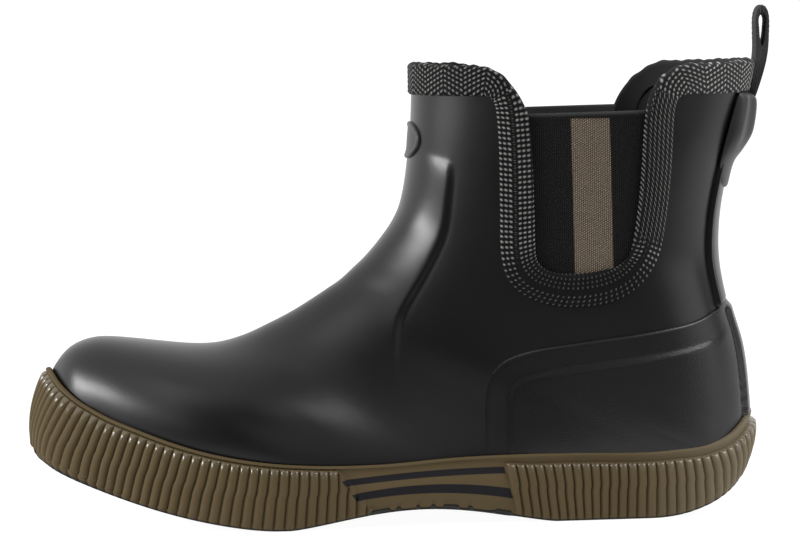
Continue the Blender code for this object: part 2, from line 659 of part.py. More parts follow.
def cut(body, cutter):
    """Take a cutter away from a body."""
    tool = body.modifiers.new(cutter.name, "BOOLEAN")
    tool.operation = "DIFFERENCE"
    tool.solver = "EXACT"
    tool.object = cutter


def cut_notches(upper):
    """Open both sides of the shaft for the elastic panels."""
    edge, _ = tape_lines()
    rise = edge[0][1] + NOTCH_RISE
    outline = [(NOTCH_ENDS[0], rise), *edge[1:-1], (NOTCH_ENDS[1], rise),
               (NOTCH_ENDS[1], NOTCH_TOP), (NOTCH_ENDS[0], NOTCH_TOP)]
    cut(upper, prism("notch_cutter", outline, -NOTCH_REACH, NOTCH_REACH))


def make_gore(name, side, finish):
    """One elastic side panel, just behind the upper's wall."""
    columns = np.linspace(GORE_BOTTOM[0][0], GORE_BOTTOM[-1][0], GORE_COLUMNS)
    share = np.linspace(0.0, 1.0, GORE_ROWS)
    grids = []
    for offset in (-WALL - GORE_GAP, -WALL - GORE_GAP - GORE_THICK):
        grid = []
        for t in share:
            heights = smooth_table(GORE_BOTTOM, columns) * (1 - t) + GORE_TOP * t
            grid.append([skin(*locate(x, z, side), offset) for x, z in zip(columns, heights)])
        grids.append(grid)
    return make_sheet(name, *grids, finish)


def counter_foot(x):
    """Height of the counter's lower edge, clear of the sole's rim."""
    return rim_height(x - COUNTER_REACH * smooth_step(*HEEL_END, x)) + COUNTER_LIFT


def counter_span(row):
    """Where a section enters the heel counter and where it leaves it, as places around."""
    share, place, *_ = section_side(round(row, 6))
    edge_x, edge_z = np.array(COUNTER_EDGE[1:]).T
    reach = np.interp(-place[:, 0], -edge_x, edge_z) - place[:, 1]
    reach = np.where(place[:, 0] > edge_x[0], edge_x[0] - place[:, 0], reach)
    low = place[:, 1] - counter_foot(place[:, 0])

    def crossing(values, after):
        return share[after - 1] + ((share[after] - share[after - 1]) * values[after - 1]
                                   / (values[after - 1] - values[after]))

    start = crossing(reach, int(np.argmax(reach > 0)))
    end = crossing(low, int(np.argmax(low < 0))) if (low < 0).any() else 1.0
    return start, end


def make_counter(finish):
    """The raised heel counter, with a step inside its edge and a spine down the back."""
    first, last = COUNTER_ROWS
    back = closing_row(counter_foot)
    below = back - (back - first) * np.linspace(1.0, 0.0, COUNTER_ROW_COUNTS[0]) ** 2
    above = last - (last - back) * np.linspace(1.0, 0.0, COUNTER_ROW_COUNTS[1])[1:] ** 2
    crowd = 1.0 - np.linspace(1.0, 0.0, COUNTER_COLUMNS + 1) ** (1.0 / COUNTER_CROWDING)
    low, high, closed = [], [], []
    for row in np.append(below, above):
        start, end = counter_span(row) if row < back else (counter_span(row)[0], 1.0)
        half = start + (end - start) * crowd
        around = np.append(half, -half[::-1])
        low.append([skin(row, a, COUNTER_GAP) for a in around])
        top = []
        for a in around:
            x, y, z = bare_point(row, a)
            gap, _ = distance_to_line(COUNTER_EDGE, x, z)
            thick = COUNTER_THICK + COUNTER_STEP * smooth_step(*COUNTER_STEP_AT, gap)
            thick += SPINE_RISE * (abs(y) < SPINE_HALF) * (x < HEEL_END[0])
            top.append(skin(row, a, COUNTER_GAP + thick))
        high.append(top)
        closed.append(row >= back)
    return make_sheet("heel_counter", low, high, finish, closed)


def band_places(row, half_width, columns):
    """Places across the back seam at a row, a half-width to each side."""
    reach = half_width / section_side(round(row, 6))[5]
    return [1.0 - t * reach for t in np.linspace(1.0, -1.0, columns + 1)]


def make_strap(finish):
    """The raised strip over the back seam."""
    first, last, count = STRAP_ROWS
    grids = [[], []]
    for row, half in zip(np.linspace(first, last, count), np.linspace(*STRAP_HALF, count)):
        places = band_places(row, half, STRAP_COLUMNS)
        grids[0].append([skin(row, a, GAP) for a in places])
        grids[1].append([skin(row, a, GAP + STRAP_THICK) for a in places])
    return make_sheet("back_strap", *grids, finish)


def make_tab(finish):
    """The rubber tab over the top of the back strap."""
    base = 2 * GAP + STRAP_THICK
    grids = [[], []]
    back_z = [r[1] for r in SECTIONS]
    heel = int(HEEL_ROW)
    crown = 1.0 - (1.0 - TAB_EDGE) * np.abs(np.linspace(-1.0, 1.0, TAB_STEPS + 1)) ** 3
    for values in TAB:
        line = dict(zip(TAB_COLUMNS, values))
        row = float(np.interp(line["z"], back_z[heel:], np.arange(heel, len(SECTIONS))))
        places = band_places(row, line["half_width"], TAB_STEPS)
        grids[0].append([skin(row, a, base) for a in places])
        grids[1].append([skin(row, a, base + line["thick"] * c) for a, c in zip(places, crown)])
    return make_sheet("heel_tab", *grids, finish)


def make_loop(finish):
    """The pull loop: a folded band with a slot."""
    count = len(LOOP)
    line = dict(zip(LOOP_COLUMNS, zip(*LOOP)))
    points = []
    for y in (-LOOP_HALF_WIDTH, LOOP_HALF_WIDTH):
        for x, z in (("outer_x", "outer_z"), ("slot_x", "slot_z")):
            points += [(a, y, b) for a, b in zip(line[x], line[z])]
    faces = []
    for k in range(count):
        n = (k + 1) % count
        faces += [(k, n, count + n, count + k),
                  (3 * count + k, 3 * count + n, 2 * count + n, 2 * count + k),
                  (n, k, 2 * count + k, 2 * count + n),
                  (count + k, count + n, 3 * count + n, 3 * count + k)]
    return new_object("pull_loop", points, faces, finish)


def make_button(finish):
    """The plain oval disc on the front of the shaft."""
    rise = section_values(BUTTON_ROW + 0.5)["front_z"] - section_values(BUTTON_ROW - 0.5)["front_z"]
    length = section_side(BUTTON_ROW)[5]
    angles = 2 * np.pi * np.arange(BUTTON_SEGMENTS) / BUTTON_SEGMENTS
    points = []
    for row in BUTTON_RINGS:
        ring = dict(zip(BUTTON_COLUMNS, row))
        offset = GAP + ring["rise"] * BUTTON_THICK
        points += [skin(BUTTON_ROW + ring["size"] * BUTTON_HALF[1] * np.sin(a) / rise,
                        ring["size"] * BUTTON_HALF[0] * np.cos(a) / length, offset) for a in angles]
    faces = []
    rings = [list(range(k * BUTTON_SEGMENTS, (k + 1) * BUTTON_SEGMENTS)) for k in range(len(BUTTON_RINGS))]
    for low, high in zip(rings, rings[1:]):
        faces += stitch(low, high)
    for ring, offset in ((rings[0], GAP), (rings[-1], GAP + BUTTON_THICK)):
        centre = len(points)
        points.append(skin(BUTTON_ROW, 0.0, offset))
        faces += [(centre, ring[k], ring[(k + 1) % BUTTON_SEGMENTS]) for k in range(BUTTON_SEGMENTS)]
    return new_object("front_button", points, faces, finish)


def main():
    for body in list(bpy.data.objects):
        bpy.data.objects.remove(body, do_unlink=True)
    rubber = material("black_rubber", (0.012, 0.012, 0.012), 0.42)
    gum = material("brown_rubber", (0.075, 0.055, 0.033), 0.6)
    felt = material("grey_felt", (0.05, 0.05, 0.05), 0.9)
    webbing = material("black_webbing", (0.02, 0.02, 0.02), 0.8)
    elastic = material("black_elastic", (0.01, 0.01, 0.01), 0.9)
    make_outsole(gum)
    cut_notches(make_upper(rubber))
    make_insole(felt)
    make_tape(webbing)
    make_gore("gore_lateral", 1.0, elastic)
    make_gore("gore_medial", -1.0, elastic)
    make_counter(rubber)
    make_strap(rubber)
    make_tab(rubber)
    make_loop(webbing)
    make_button(rubber)


main()
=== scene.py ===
from functools import lru_cache

import bpy
import numpy as np
from mathutils import Matrix, Vector


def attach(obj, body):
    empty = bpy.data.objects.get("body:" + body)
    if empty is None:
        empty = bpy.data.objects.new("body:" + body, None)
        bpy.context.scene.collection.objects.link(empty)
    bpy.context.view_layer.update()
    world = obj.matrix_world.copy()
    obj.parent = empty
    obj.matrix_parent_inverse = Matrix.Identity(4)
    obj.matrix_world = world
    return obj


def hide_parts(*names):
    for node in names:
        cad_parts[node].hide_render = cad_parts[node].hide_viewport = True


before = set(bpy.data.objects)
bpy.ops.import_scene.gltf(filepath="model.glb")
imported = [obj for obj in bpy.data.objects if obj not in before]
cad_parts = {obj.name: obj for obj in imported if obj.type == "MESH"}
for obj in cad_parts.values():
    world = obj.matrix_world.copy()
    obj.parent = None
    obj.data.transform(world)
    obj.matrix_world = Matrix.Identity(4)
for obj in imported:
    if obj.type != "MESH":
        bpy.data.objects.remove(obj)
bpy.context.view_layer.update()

# Left rubber ankle boot: satin upper, elastic sides, woven tape and ribbed cup sole.
# Sizes are in millimetres in the last's own frame; BOX_CENTRE moves them to the solids' frame.
MM = 0.001
BOX_CENTRE = np.array((-2.0, 1.4, 0.0))
WALL = 2.0
MERGE = 0.00002
TINY = 1e-12
CREASE = 45.0
RUBBER_CREASE = 60.0
WEAVE_CREASE = 70.0

# Sections of the last, from the toe tip over the heel to above the collar.
SECTION_COLUMNS = (
    "back_x", "back_z", "front_x", "front_z", "half_width", "bottom_half_width",
    "centre_y", "widest_at", "front_round", "back_round", "back_power")
SECTIONS = (
    (135.0, 32.0, 131.4, 57.5, 0.0, 0.0, -6.0, 0.42, 2.2, 2.0, 1.00),
    (128.5, 28.0, 125.8, 65.2, 17.5, 16.0, -6.0, 0.42, 2.2, 2.0, 1.00),
    (116.0, 22.5, 115.5, 69.5, 27.4, 25.0, -5.6, 0.40, 2.2, 2.0, 1.00),
    (99.0, 15.5, 103.0, 69.1, 36.0, 33.5, -3.6, 0.36, 2.18, 2.0, 1.00),
    (75.0, 10.0, 90.0, 67.8, 42.6, 40.0, -0.8, 0.34, 2.1, 2.0, 1.00),
    (40.0, 9.0, 78.5, 66.9, 45.0, 42.0, 1.6, 0.30, 2.0, 2.0, 1.00),
    (5.0, 11.5, 68.5, 67.3, 41.5, 37.0, 2.8, 0.28, 2.0, 2.0, 1.00),
    (-35.0, 13.0, 58.5, 69.9, 36.8, 32.5, 2.2, 0.26, 2.0, 2.0, 1.00),
    (-72.0, 11.5, 49.0, 74.0, 35.4, 30.5, 1.0, 0.30, 2.0, 2.0, 1.00),
    (-102.0, 11.5, 40.0, 78.4, 35.2, 28.0, 0.3, 0.34, 2.0, 2.2, 0.90),
    (-123.0, 12.5, 32.5, 82.8, 35.2, 19.0, 0.0, 0.36, 2.0, 2.4, 0.65),
    (-133.0, 17.0, 26.5, 86.6, 35.3, 0.0, 0.0, 0.38, 2.0, 2.5, 0.42),
    (-135.2, 32.0, 21.0, 90.2, 35.4, -19.0, 0.0, 0.40, 2.01, 2.5, 0.42),
    (-134.6, 47.0, 16.2, 94.4, 35.6, -20.0, 0.0, 0.42, 2.03, 2.5, 0.42),
    (-132.5, 63.0, 10.9, 99.3, 36.1, -20.0, 0.0, 0.436, 2.06, 2.4, 0.42),
    (-127.8, 79.0, 5.4, 105.6, 36.8, -20.0, 0.0, 0.45, 2.09, 2.4, 0.42),
    (-124.6, 96.0, 0.4, 112.6, 38.0, -20.0, 0.0, 0.46, 2.12, 2.3, 0.44),
    (-124.6, 112.0, -2.8, 119.8, 39.5, -20.0, 0.0, 0.47, 2.15, 2.3, 0.44),
    (-127.4, 129.0, -5.0, 130.8, 41.1, -20.0, 0.0, 0.48, 2.18, 2.3, 0.44),
    (-132.2, 146.0, -6.4, 146.0, 42.4, -20.0, 0.0, 0.49, 2.2, 2.3, 0.44),
    (-136.2, 161.0, -7.1, 161.0, 43.0, -20.0, 0.0, 0.50, 2.2, 2.3, 0.44),
    (-138.2, 171.0, -7.1, 171.0, 43.3, -20.0, 0.0, 0.50, 2.2, 2.3, 0.44),
    (-139.8, 181.0, -7.1, 181.0, 43.5, -20.0, 0.0, 0.50, 2.2, 2.3, 0.44))
MIRRORED = np.array([1, 1, 1, 1, -1, -1, 1, 1, 1, 1, 1], float)
ROWS = np.array(SECTIONS, float)
SECTION_TABLE = np.vstack([ROWS[2] * MIRRORED, ROWS[1] * MIRRORED, ROWS, 2 * ROWS[-1] - ROWS[-2]])
TOE_BOX_X = 100.0
HEEL_ROW = 11.0
COLLAR_ROW = 21.0
SECTION_POINTS = 160
ROW_STEP = 0.05
ROW_DIGITS = 6
ROWS_BEFORE_TIP = 6
TIP_ROWS = 0.12
EASED_TOE = (0.15, 0.6)
EASED_VAMP = (5.0, 4.0)
EASED_TIMES = 60
HALF_COLUMNS = 160
TABLE_GUARD = 0.001
BISECTIONS = 30
MIDDLE_SHARE = 0.45
LOCATE_FROM_ROW = 4.0
CLOSING_ROWS = 3.0

# Raised instep panel: its side edge seen from the side, the trough along it and the shelf at its top.
PANEL_EDGE = (
    (-19.5, 150.0), (-18.9, 138.0), (-18.8, 132.6), (-18.6, 127.0), (-17.9, 120.0), (-17.1, 113.4),
    (-15.6, 107.2), (-13.2, 101.6), (-10.2, 95.8), (-6.6, 89.4), (-2.9, 83.2), (0.4, 76.2),
    (1.9, 66.0), (2.6, 54.0))
PANEL_STEPS = 4
PANEL_RISE = 1.3
PANEL_SHOULDER = (-1.5, 1.3)
PANEL_SPREAD = 13.0
PANEL_FADE = (1.0, 0.68)
TROUGH_DEPTH = 0.3
TROUGH_WIDTH = 1.3
SHELF_LINE = (-7.0, 140.3, 0.36)
SHELF_REACH = 3.2
SHELF_SOFT = 0.8

# Sole: heights of its top edge and its underside along the length.
RIM = ((-140.0, 42.0), (-134.0, 37.4), (-127.0, 31.7), (-117.0, 27.6), (-102.0, 25.9),
       (-60.0, 25.9), (-20.0, 25.4), (12.0, 23.8), (38.0, 24.3), (60.0, 26.5), (80.0, 30.7),
       (100.0, 37.4), (115.0, 43.6), (124.0, 49.2), (129.0, 54.0), (132.5, 59.0))
TOE_SPRING_START = 50.0
TOE_SPRING_END = 134.0
TOE_SPRING = 20.5
TOE_SPRING_POWER = 1.58
ARCH_FRONT = 45.0
ARCH_BACK = -57.0
ARCH_HEIGHT = 6.3
ARCH_POWER = 1.3
HEEL_ROUND_START = -94.0
HEEL_ROUND_END = -134.5
HEEL_ROUND = 12.5
SOLE_GAP = 0.5
# Painted light: over this stretch of x the sole's brown turns paler towards the heel.
SOLE_PAINTED_LIGHT_X = (-75.0, -140.0)
CUP_FLOOR_GAP = 2.0
CONTOUR_POINTS = 320
NORMAL_SMOOTHING = 60
SLOPE_SMOOTHING = 240

# Sole wall: sizes given as (side, toe, heel) and the stretches of x where they change.
TOE_END = (92.0, 132.0)
HEEL_END = (-104.0, -138.0)
RIM_BAND = (1.5, 1.4, 4.0)
RIM_BAND_REAR = 3.6
RIM_BAND_X = (-20.0, -50.0)
BAND_OUT = 1.7
WALL_TOP_OUT = (3.8, 3.8, 4.2)
WALL_MIDDLE_OUT = (5.0, 8.7, 3.2)
WALL_BOTTOM_OUT = (4.0, 7.9, -2.0)
EDGE_OUT = (1.2, 0.6, -4.0)
EDGE_LIFT = (2.0, 5.0, 2.0)
EDGE_DARK = 0.4
BAND_STEPS = 3
WALL_STEPS = 20
WALL_CROWDING = 1.6
EDGE_STEPS = 4
UNDER_COLUMNS = 30
FLOOR_COLUMNS = 2

# Lip over the sole's rim, from the inside out: pairs of reach and rise.
LIP = ((0.0, -4.0), (0.05, -1.2), (0.3, -0.3), (0.9, 0.0), (1.6, -0.05), (2.15, -0.35), (2.4, -0.9))
LIP_STEPS = 2

# Ribs of the sole wall, and the front and back ends of the plain midfoot panel between them.
RIB_PITCH = 3.55
RIB_GROUPS = 4
RIB_SAMPLES = 8
RIB_DEPTH = 1.5
RIB_FULLNESS = 2.8
RIB_END = 1.5
RIB_TIP = (3.2, 1.6)
RIB_TIP_PHASE = (0.9, 0.5)
RIB_JOG = 0.45
RIB_JOG_AT = (0.42, 0.54)
RIB_LEAN = 0.17
RIB_LEAN_X = (-95.0, -40.0)
RIB_LEAN_STOP = -30.0
MIDFOOT_TOP = (27.3, -37.0)
MIDFOOT_BOTTOM = (14.8, -41.5)
MIDFOOT_SOFT = 0.3
MIDFOOT_BLEND = 8.0

# Dark stripes on the midfoot panel of the sole, and the panel's two ends, in the solids' frame.
STRIPE_COLUMNS = ("middle", "slope", "bend", "half", "narrowing")
STRIPES = ((19.4, -0.051, -0.00084, 1.2, -0.001), (14.1, -0.0295, -0.00277, 1.6, -0.0075))
STRIPE_SOFT = 0.15
STRIPE_FRONT = (14.4, 0.727)
STRIPE_BACK = (-40.5, 0.28)

# Tread: bars across the underside, and slots that open at the edge under the arch.
TREAD_X = (-118.0, -107.0, -58.0, -47.0, -36.0, 9.0, 18.0, 58.0, 69.0, 80.0, 91.0, 102.0, 113.0)
TREAD_WIDTH = 3.5
TREAD_DEPTH = 2.5
TREAD_SOFT = 0.3
TREAD_EDGE = 7.0
TREAD_EDGE_SOFT = 0.5
SLOT_COLUMNS = ("x", "width")
SLOTS = ((11.1, 7.9), (4.0, 1.9), (-3.5, 1.4), (-9.3, 1.7), (-16.2, 6.2), (-23.5, 1.9), (-36.5, 6.2))
SLOT_DEPTH = 1.1
SLOT_REACH = 4.5
MIDFOOT_HANG = 0.8
MIDFOOT_HANG_RISE = (1.0, 3.0)

# Upper skin and lining: fineness, and the notch for the elastic.
UPPER_COLUMNS = 200
UPPER_ROWS = 220
UPPER_SHARE = 0.32
UPPER_CROWDING = 1.45
SHELF_ROW = 18.6
SHELF_SPREAD = 0.7
SHELF_CROWDING = 1.5
NOTCH_TOP = 185.0
NOTCH_LEAST_Y = 15.0
NOTCH_REAR_X = -70.0
INNER_CORNER = 4.5
INNER_CORNER_Z = (150.0, 171.0)
NOTCH_SNAP = 3.2
LINING_ROWS = (3.0, 20.5)
LINING_COLUMNS = 100
LINING_STEPS = 90
LINING_GAP = 0.15
LINING_THICK = 0.8
LINING_NOTCH = 7.5

# Side notch: the upper's cut edge and the far edge of the tape along it, front to back, side view.
TAPE = (
    (-29.0, 171.0, -29.0, 161.0), (-34.0, 169.8, -32.0, 161.0), (-38.6, 165.0, -33.6, 159.9),
    (-42.9, 158.6, -34.6, 157.0), (-45.4, 152.0, -35.2, 152.0), (-46.5, 138.0, -35.9, 138.0),
    (-47.4, 118.0, -36.2, 118.0), (-48.0, 103.0, -36.6, 101.0), (-49.2, 97.4, -39.2, 91.2),
    (-53.4, 93.4, -46.0, 84.8), (-61.0, 92.0, -57.0, 81.2), (-69.0, 92.2, -68.0, 80.8),
    (-77.0, 93.4, -79.5, 82.8), (-83.4, 96.0, -89.4, 88.4), (-87.9, 102.0, -96.6, 99.0),
    (-90.1, 116.0, -99.5, 113.5), (-91.4, 132.0, -101.2, 131.0), (-92.2, 148.0, -101.8, 148.0),
    (-93.3, 157.0, -102.4, 155.6), (-95.8, 163.2, -103.6, 159.2), (-99.5, 167.8, -105.2, 160.7),
    (-104.0, 170.3, -108.0, 161.0), (-109.0, 171.0, -110.5, 161.0))
TAPE_STEPS = 12
TAPE_LOW_ROW = 20.0
TAPE_END_STEPS = 40
TAPE_COLUMNS = 1500
TAPE_SOFTENING = 60
TAPE_OUT = 1.15
# Painted light: over this stretch of x the tape's colours turn lighter towards the rear of the collar.
TAPE_PAINTED_LIGHT_X = (-84.0, -116.0)
TAPE_IN = -3.6
TAPE_CAP = 1.5
TAPE_RAGGED = 0.12
TAPE_RAGGED_PITCHES = (1.9, 0.77)
TAPE_RISES = (0.07, 0.09)
NO_RISES = (0.0, 0.0)
TAPE_THICK = 0.75
TAPE_EDGE_DROP = 0.75
TAPE_EDGE_SOFT = 0.07
TAPE_OUTER_STEPS = 28
TAPE_CAP_STEPS = 8
TAPE_INNER_STEPS = 10
TAPE_INNER_END = 0.15

# Herringbone weave of the tape and the loop.
WEAVE_COLUMN = 1.75
WEAVE_PITCH = 1.95
WEAVE_SLANT = (0.25, 0.45)
WEAVE_SHIFT = (0.1, 0.45)
WEAVE_REAR = (1.8, 0.8)
WEAVE_REAR_X = -80.0
WEAVE_REAR_Z = (99.0, 108.0)
WEAVE_REAR_DIM = 0.8
WEAVE_COLLAR_DIM = 0.85
WEAVE_BAND = 9.2
WEAVE_SPINE = 3
WEAVE_SPINE_HEIGHT = 0.7
WEAVE_HEIGHT = 0.3
WEAVE_FULLNESS = 0.7
WEAVE_FINE = 0.5
# Lower weave and painted shade: towards the bottom of the notch the strokes flatten and their painted
# highlight fades.
WEAVE_LOWERED_AND_SHADED = 0.6
WEAVE_SHADED_Z = (86.0, 108.0)
WEAVE_COLLAR_ROW = 19.85

# Elastic side panel: its hidden lower edge behind the upper, and the hem rolled over its top.
GORE_BOTTOM = ((-97.0, 112.0), (-94.5, 101.0), (-88.0, 92.5), (-80.0, 88.8), (-68.0, 87.0),
               (-56.0, 88.4), (-48.0, 92.0), (-43.5, 100.0), (-41.5, 112.0))
GORE_TOPS = (153.6, 153.8)
GORE_TILT = 0.018
GORE_OFFSET = -2.1
GORE_THICK = 0.65
GORE_COLUMNS = 90
GORE_ROWS = 140
GORE_FACE = 0.86
GORE_ROLL = 0.06
GORE_RADIUS = 0.32
GORE_HEM = 6.0
GORE_HEM_AT = 1.0
GORE_HEM_SOFT = 0.7
GORE_HEM_BULGE = 0.15
# Painted highlight: the share of the panel before the hem's roll over which its lighter colour sets in.
GORE_HEM_HIGHLIGHT_SPAN = 0.005
GORE_STRIPE = (-70.0, 94.0, 0.037)
GORE_STRIPE_HALF = 7.35
GORE_STRIPE_TOP = 152.3
GORE_STRIPE_SOFT = 0.25
WALE_PITCH = 0.8
COURSE_PITCH = 0.9

# Heel counter: its edge seen from the side, and the step inside it.
COUNTER_EDGE = (
    (-29.3, 20.0), (-29.4, 32.0), (-29.7, 45.0), (-31.4, 53.4), (-35.3, 59.0), (-41.4, 62.6),
    (-52.8, 65.7), (-73.8, 68.6), (-92.0, 70.9), (-110.4, 74.2), (-122.0, 78.8), (-130.0, 83.4))
COUNTER_EDGE_STEPS = 8
COUNTER_ROWS = (7.4, 15.1)
COUNTER_STEPS = (110, 60)
COUNTER_HALF_COLUMNS = 105
COUNTER_CROWDING = 1.6
COUNTER_ROW_CROWDING = 1.4
COUNTER_TUCK = 0.3
COUNTER_LIFT = 1.5
COUNTER_SUNK = 0.3
COUNTER_ROUND = 1.5
COUNTER_THICK = 0.6
COUNTER_STEP = 1.1
COUNTER_STEP_AT = (8.0, 11.6)
COUNTER_STEP_X = (-128.0, -114.0)
COUNTER_FAINT = 0.14
COUNTER_SPREAD = 1.2
COUNTER_FAINT_X = (-28.0, -60.0)
SPINE_RISE = 1.3
SPINE_HALF = 14.5
SPINE_SOFT = 0.6
SPINE_GROOVE = 0.5
SPINE_GROOVE_SOFT = 0.9
SPINE_START = (0.6, 4.0)
SPINE_X = (-112.0, -120.0)

# Strip over the back seam: rows, half-widths and the groove inside its edge.
STRAP_ROWS = (14.6, 19.9)
STRAP_HALF = (21.5, 23.5)
STRAP_COLUMNS = 90
STRAP_STEPS = 110
STRAP_LIFT = 1.5
STRAP_SUNK = 0.3
STRAP_ROUND = 0.6
STRAP_COVERED = (-0.6, 1.2)
STRAP_BEAD = 0.8
STRAP_BEAD_AT = 1.1
STRAP_BEAD_SOFT = 1.0
STRAP_GROOVE = 0.35
STRAP_GROOVE_AT = 2.6
STRAP_GROOVE_SOFT = 0.7
STRAP_THICK = 0.6
STRIP_ROW_TABLE = (11.0, 12.0, 13.0, 14.0, 15.0, 16.0, 17.0, 18.0, 19.0, 20.0, 21.0, 22.0)

# Heel tab: height, half-width and thickness, top to bottom.
TAB_COLUMNS = ("z", "half_width", "thick")
TAB = ((161.0, 23.6, 2.2), (156.5, 24.4, 3.8), (150.0, 25.0, 4.8), (146.0, 25.0, 4.9), (142.0, 24.8, 4.1),
       (139.0, 24.4, 3.2), (136.0, 24.0, 2.0), (133.0, 23.2, 1.5), (127.0, 19.0, 1.4), (124.4, 12.0, 1.2))
TAB_TABLE_STEPS = 12
TAB_BASE = 1.1
TAB_FULLNESS = 4.0
TAB_END = 0.06
TAB_FOLD = 0.8
TAB_FOLD_AT = 0.9
TAB_FOLD_PITCH = 0.42
TAB_FOLD_Z = (136.0, 150.0)
TAB_ACROSS = 80
TAB_STEPS = 90
TAB_WALL = 0.6

# Pull loop: outer outline and slot, in matched pairs, seen from the side.
LOOP = (
    (-138.0, 158.0, -142.7, 178.6), (-139.3, 168.0, -142.4, 179.6), (-140.3, 176.0, -142.0, 181.6),
    (-140.3, 184.0, -141.75, 185.0), (-140.4, 189.5, -141.55, 188.2), (-141.3, 192.7, -142.0, 190.0),
    (-143.0, 194.0, -143.0, 190.7), (-144.7, 192.7, -144.0, 190.0), (-145.6, 189.5, -144.4, 188.2),
    (-145.6, 184.0, -144.2, 185.0), (-145.1, 176.0, -143.8, 181.6), (-143.3, 168.0, -143.3, 179.6),
    (-139.8, 158.0, -143.0, 178.6))
LOOP_TURN = 0.105
LOOP_STROKES = (0.45, 0.45)
LOOP_HALF_WIDTH = 9.0
LOOP_SMOOTHING = 14
LOOP_STEPS = 170
LOOP_ACROSS = 40
LOOP_EDGE = 12.0
LOOP_ROUND = 0.5
LOOP_WEAVE = 0.2
LOOP_DIM = 0.55

# Plain oval disc: size and rise of its rings, from its edge to its middle.
BUTTON_ROW = 18.85
BUTTON_HALF = (14.0, 7.1)
BUTTON_RINGS = ((1.0, -0.4), (1.0, 0.3), (0.985, 0.8), (0.95, 1.1), (0.9, 1.15), (0.86, 1.0),
                (0.82, 0.85), (0.6, 0.9), (0.3, 0.95), (0.0, 0.95))
BUTTON_RING_STEPS = 3
BUTTON_SEGMENTS = 96

# Felt footbed.
INSOLE_STEPS = 130
INSOLE_ACROSS = 30
INSOLE_INSET = 2.6
INSOLE_THICK = 3.6
INSOLE_ROUND = 1.4
INSOLE_EDGE = 0.06
INSOLE_WALL = 2.0

# Camera: where it looks, its angles round and above the boot, its distance and lens.
CAMERA_TARGET = (0.0, -0.0014, 0.0947)
CAMERA_ROUND = 6.0
CAMERA_ABOVE = 4.0
CAMERA_ROLL = -0.5
CAMERA_DISTANCE = 1.5
CAMERA_LENS = 175.5
CAMERA_SENSOR = 36.0
CAMERA_REACH = 50.0

# Studio: softboxes by direction round and above the boot in degrees, distance and size in metres.
LIGHT_TARGET = (0.0, 0.0, 0.1)
LIGHT_COLUMNS = ("name", "turn", "above", "distance", "width", "height", "glow")
LIGHTS = (
    ("toe_core", 10.0, 16.0, 1.8, 1.0, 0.3, 25.0),
    ("toe_box", 10.0, 18.5, 1.8, 1.4, 0.5, 2.4),
    ("strip_box", 48.0, 36.0, 1.8, 0.5, 2.2, 1.2),
    ("side_box", 105.0, 20.0, 1.8, 1.2, 1.1, 0.45),
    ("heel_box", 156.0, 9.0, 1.8, 1.2, 0.8, 1.9),
    ("heel_high", 152.0, 46.0, 1.8, 0.9, 0.9, 8.0))
ROOM_GLOW = 0.07
BACK_GLOW = 1.0
BACK_FADE = (-0.02, -0.5)
TOP_AXIS = (0.469, 0.0, 0.883)
TOP_FADE = (0.70, 0.86)
FLOOR_SIZE = 60.0
FLOOR_FRONT = (0.12, 0.3)
FLOOR_TONES = (0.12, 0.06)
FLOOR_GLOWS = (0.96, 0.03)
FLOOR_SHINE = 0.2
FLOOR_DULL = 0.8

# Finishes: colours, heights of the bumps in millimetres, and noises as (scale, detail, roughness).
# The three black rubbers are given by name, bump, grain, tone and dullness.
SKIN_RUBBER = ("satin_rubber", 0.02, 900.0, 0.0035, 0.32)
TAB_RUBBER = ("tab_rubber", 0.03, 900.0, 0.022, 0.45)
HEEL_RUBBER = ("heel_rubber", 0.08, 1500.0, 0.0035, 0.32)
RUBBER_SHINE = 0.4
RUBBER_CLOUD = (22.0, 3.0, 0.5)
RUBBER_GRIT = (2.0, 0.6)
RUBBER_TONES = (0.8, 1.2)
RUBBER_CLOUD_DULL = 0.08
RUBBER_GRIT_DULL = 0.05
SOLE_SHINE = 0.05
SOLE_TIP_DULL = 0.12
SOLE_CLOUD = (30.0, 3.0, 0.5)
SOLE_GRIT = (1100.0, 2.0, 0.6)
SOLE_BROWN = ((0.078, 0.0565, 0.0285), (0.094, 0.070, 0.037))
# Painted light: the paler colour that the heel of the sole is given.
SOLE_PAINTED_HEEL_LIGHT = (0.165, 0.135, 0.090)
SOLE_STRIPE = (0.014, 0.014, 0.0155)
# The darker colour of the sole's lower edge and underside.
SOLE_DARK_BOTTOM = (0.010, 0.0095, 0.009)
SOLE_DULL = 0.48
SOLE_GRIT_DULL = 0.12
SOLE_BUMP = 0.05
TAPE_SHINE = 0.12
TAPE_FIBRE = (2600.0, 2.0, 0.5)
# Tape colours, front then rear: the ground, and the painted highlight on the crowns of the strokes; the
# rear ones are lighter as painted light.
TAPE_GROUND_AND_PAINTED_LIGHT = ((0.005, 0.005, 0.005), (0.030, 0.030, 0.030))
TAPE_PAINTED_HIGHLIGHT = ((0.23, 0.226, 0.22), (0.48, 0.475, 0.465))
TAPE_SHADE = 0.7
TAPE_FIBRE_SHADE = 0.6
TAPE_CONTRAST = (0.32, 0.85)
TAPE_DULL = 0.80
TAPE_CROWN_GLOSS = 0.15
TAPE_BUMP = 0.10
KNIT_SHINE = 0.1
KNIT_BLACK = ((0.006, 0.006, 0.006), (0.022, 0.022, 0.022))
KNIT_BROWN = ((0.075, 0.058, 0.042), (0.36, 0.288, 0.220))
KNIT_PAINTED_HEM_HIGHLIGHT = (0.04, 0.04, 0.04)
KNIT_DULL = 0.85
KNIT_GLOSS = 0.1
KNIT_BUMP = 0.25
FELT_SHINE = 0.2
FELT_FUZZ = (1500.0, 4.0, 0.7)
FELT_GREY = ((0.008, 0.008, 0.008), (0.03, 0.029, 0.028))
FELT_DULL = 0.9
FELT_FUZZ_DULL = 0.05
FELT_BUMP = 0.3


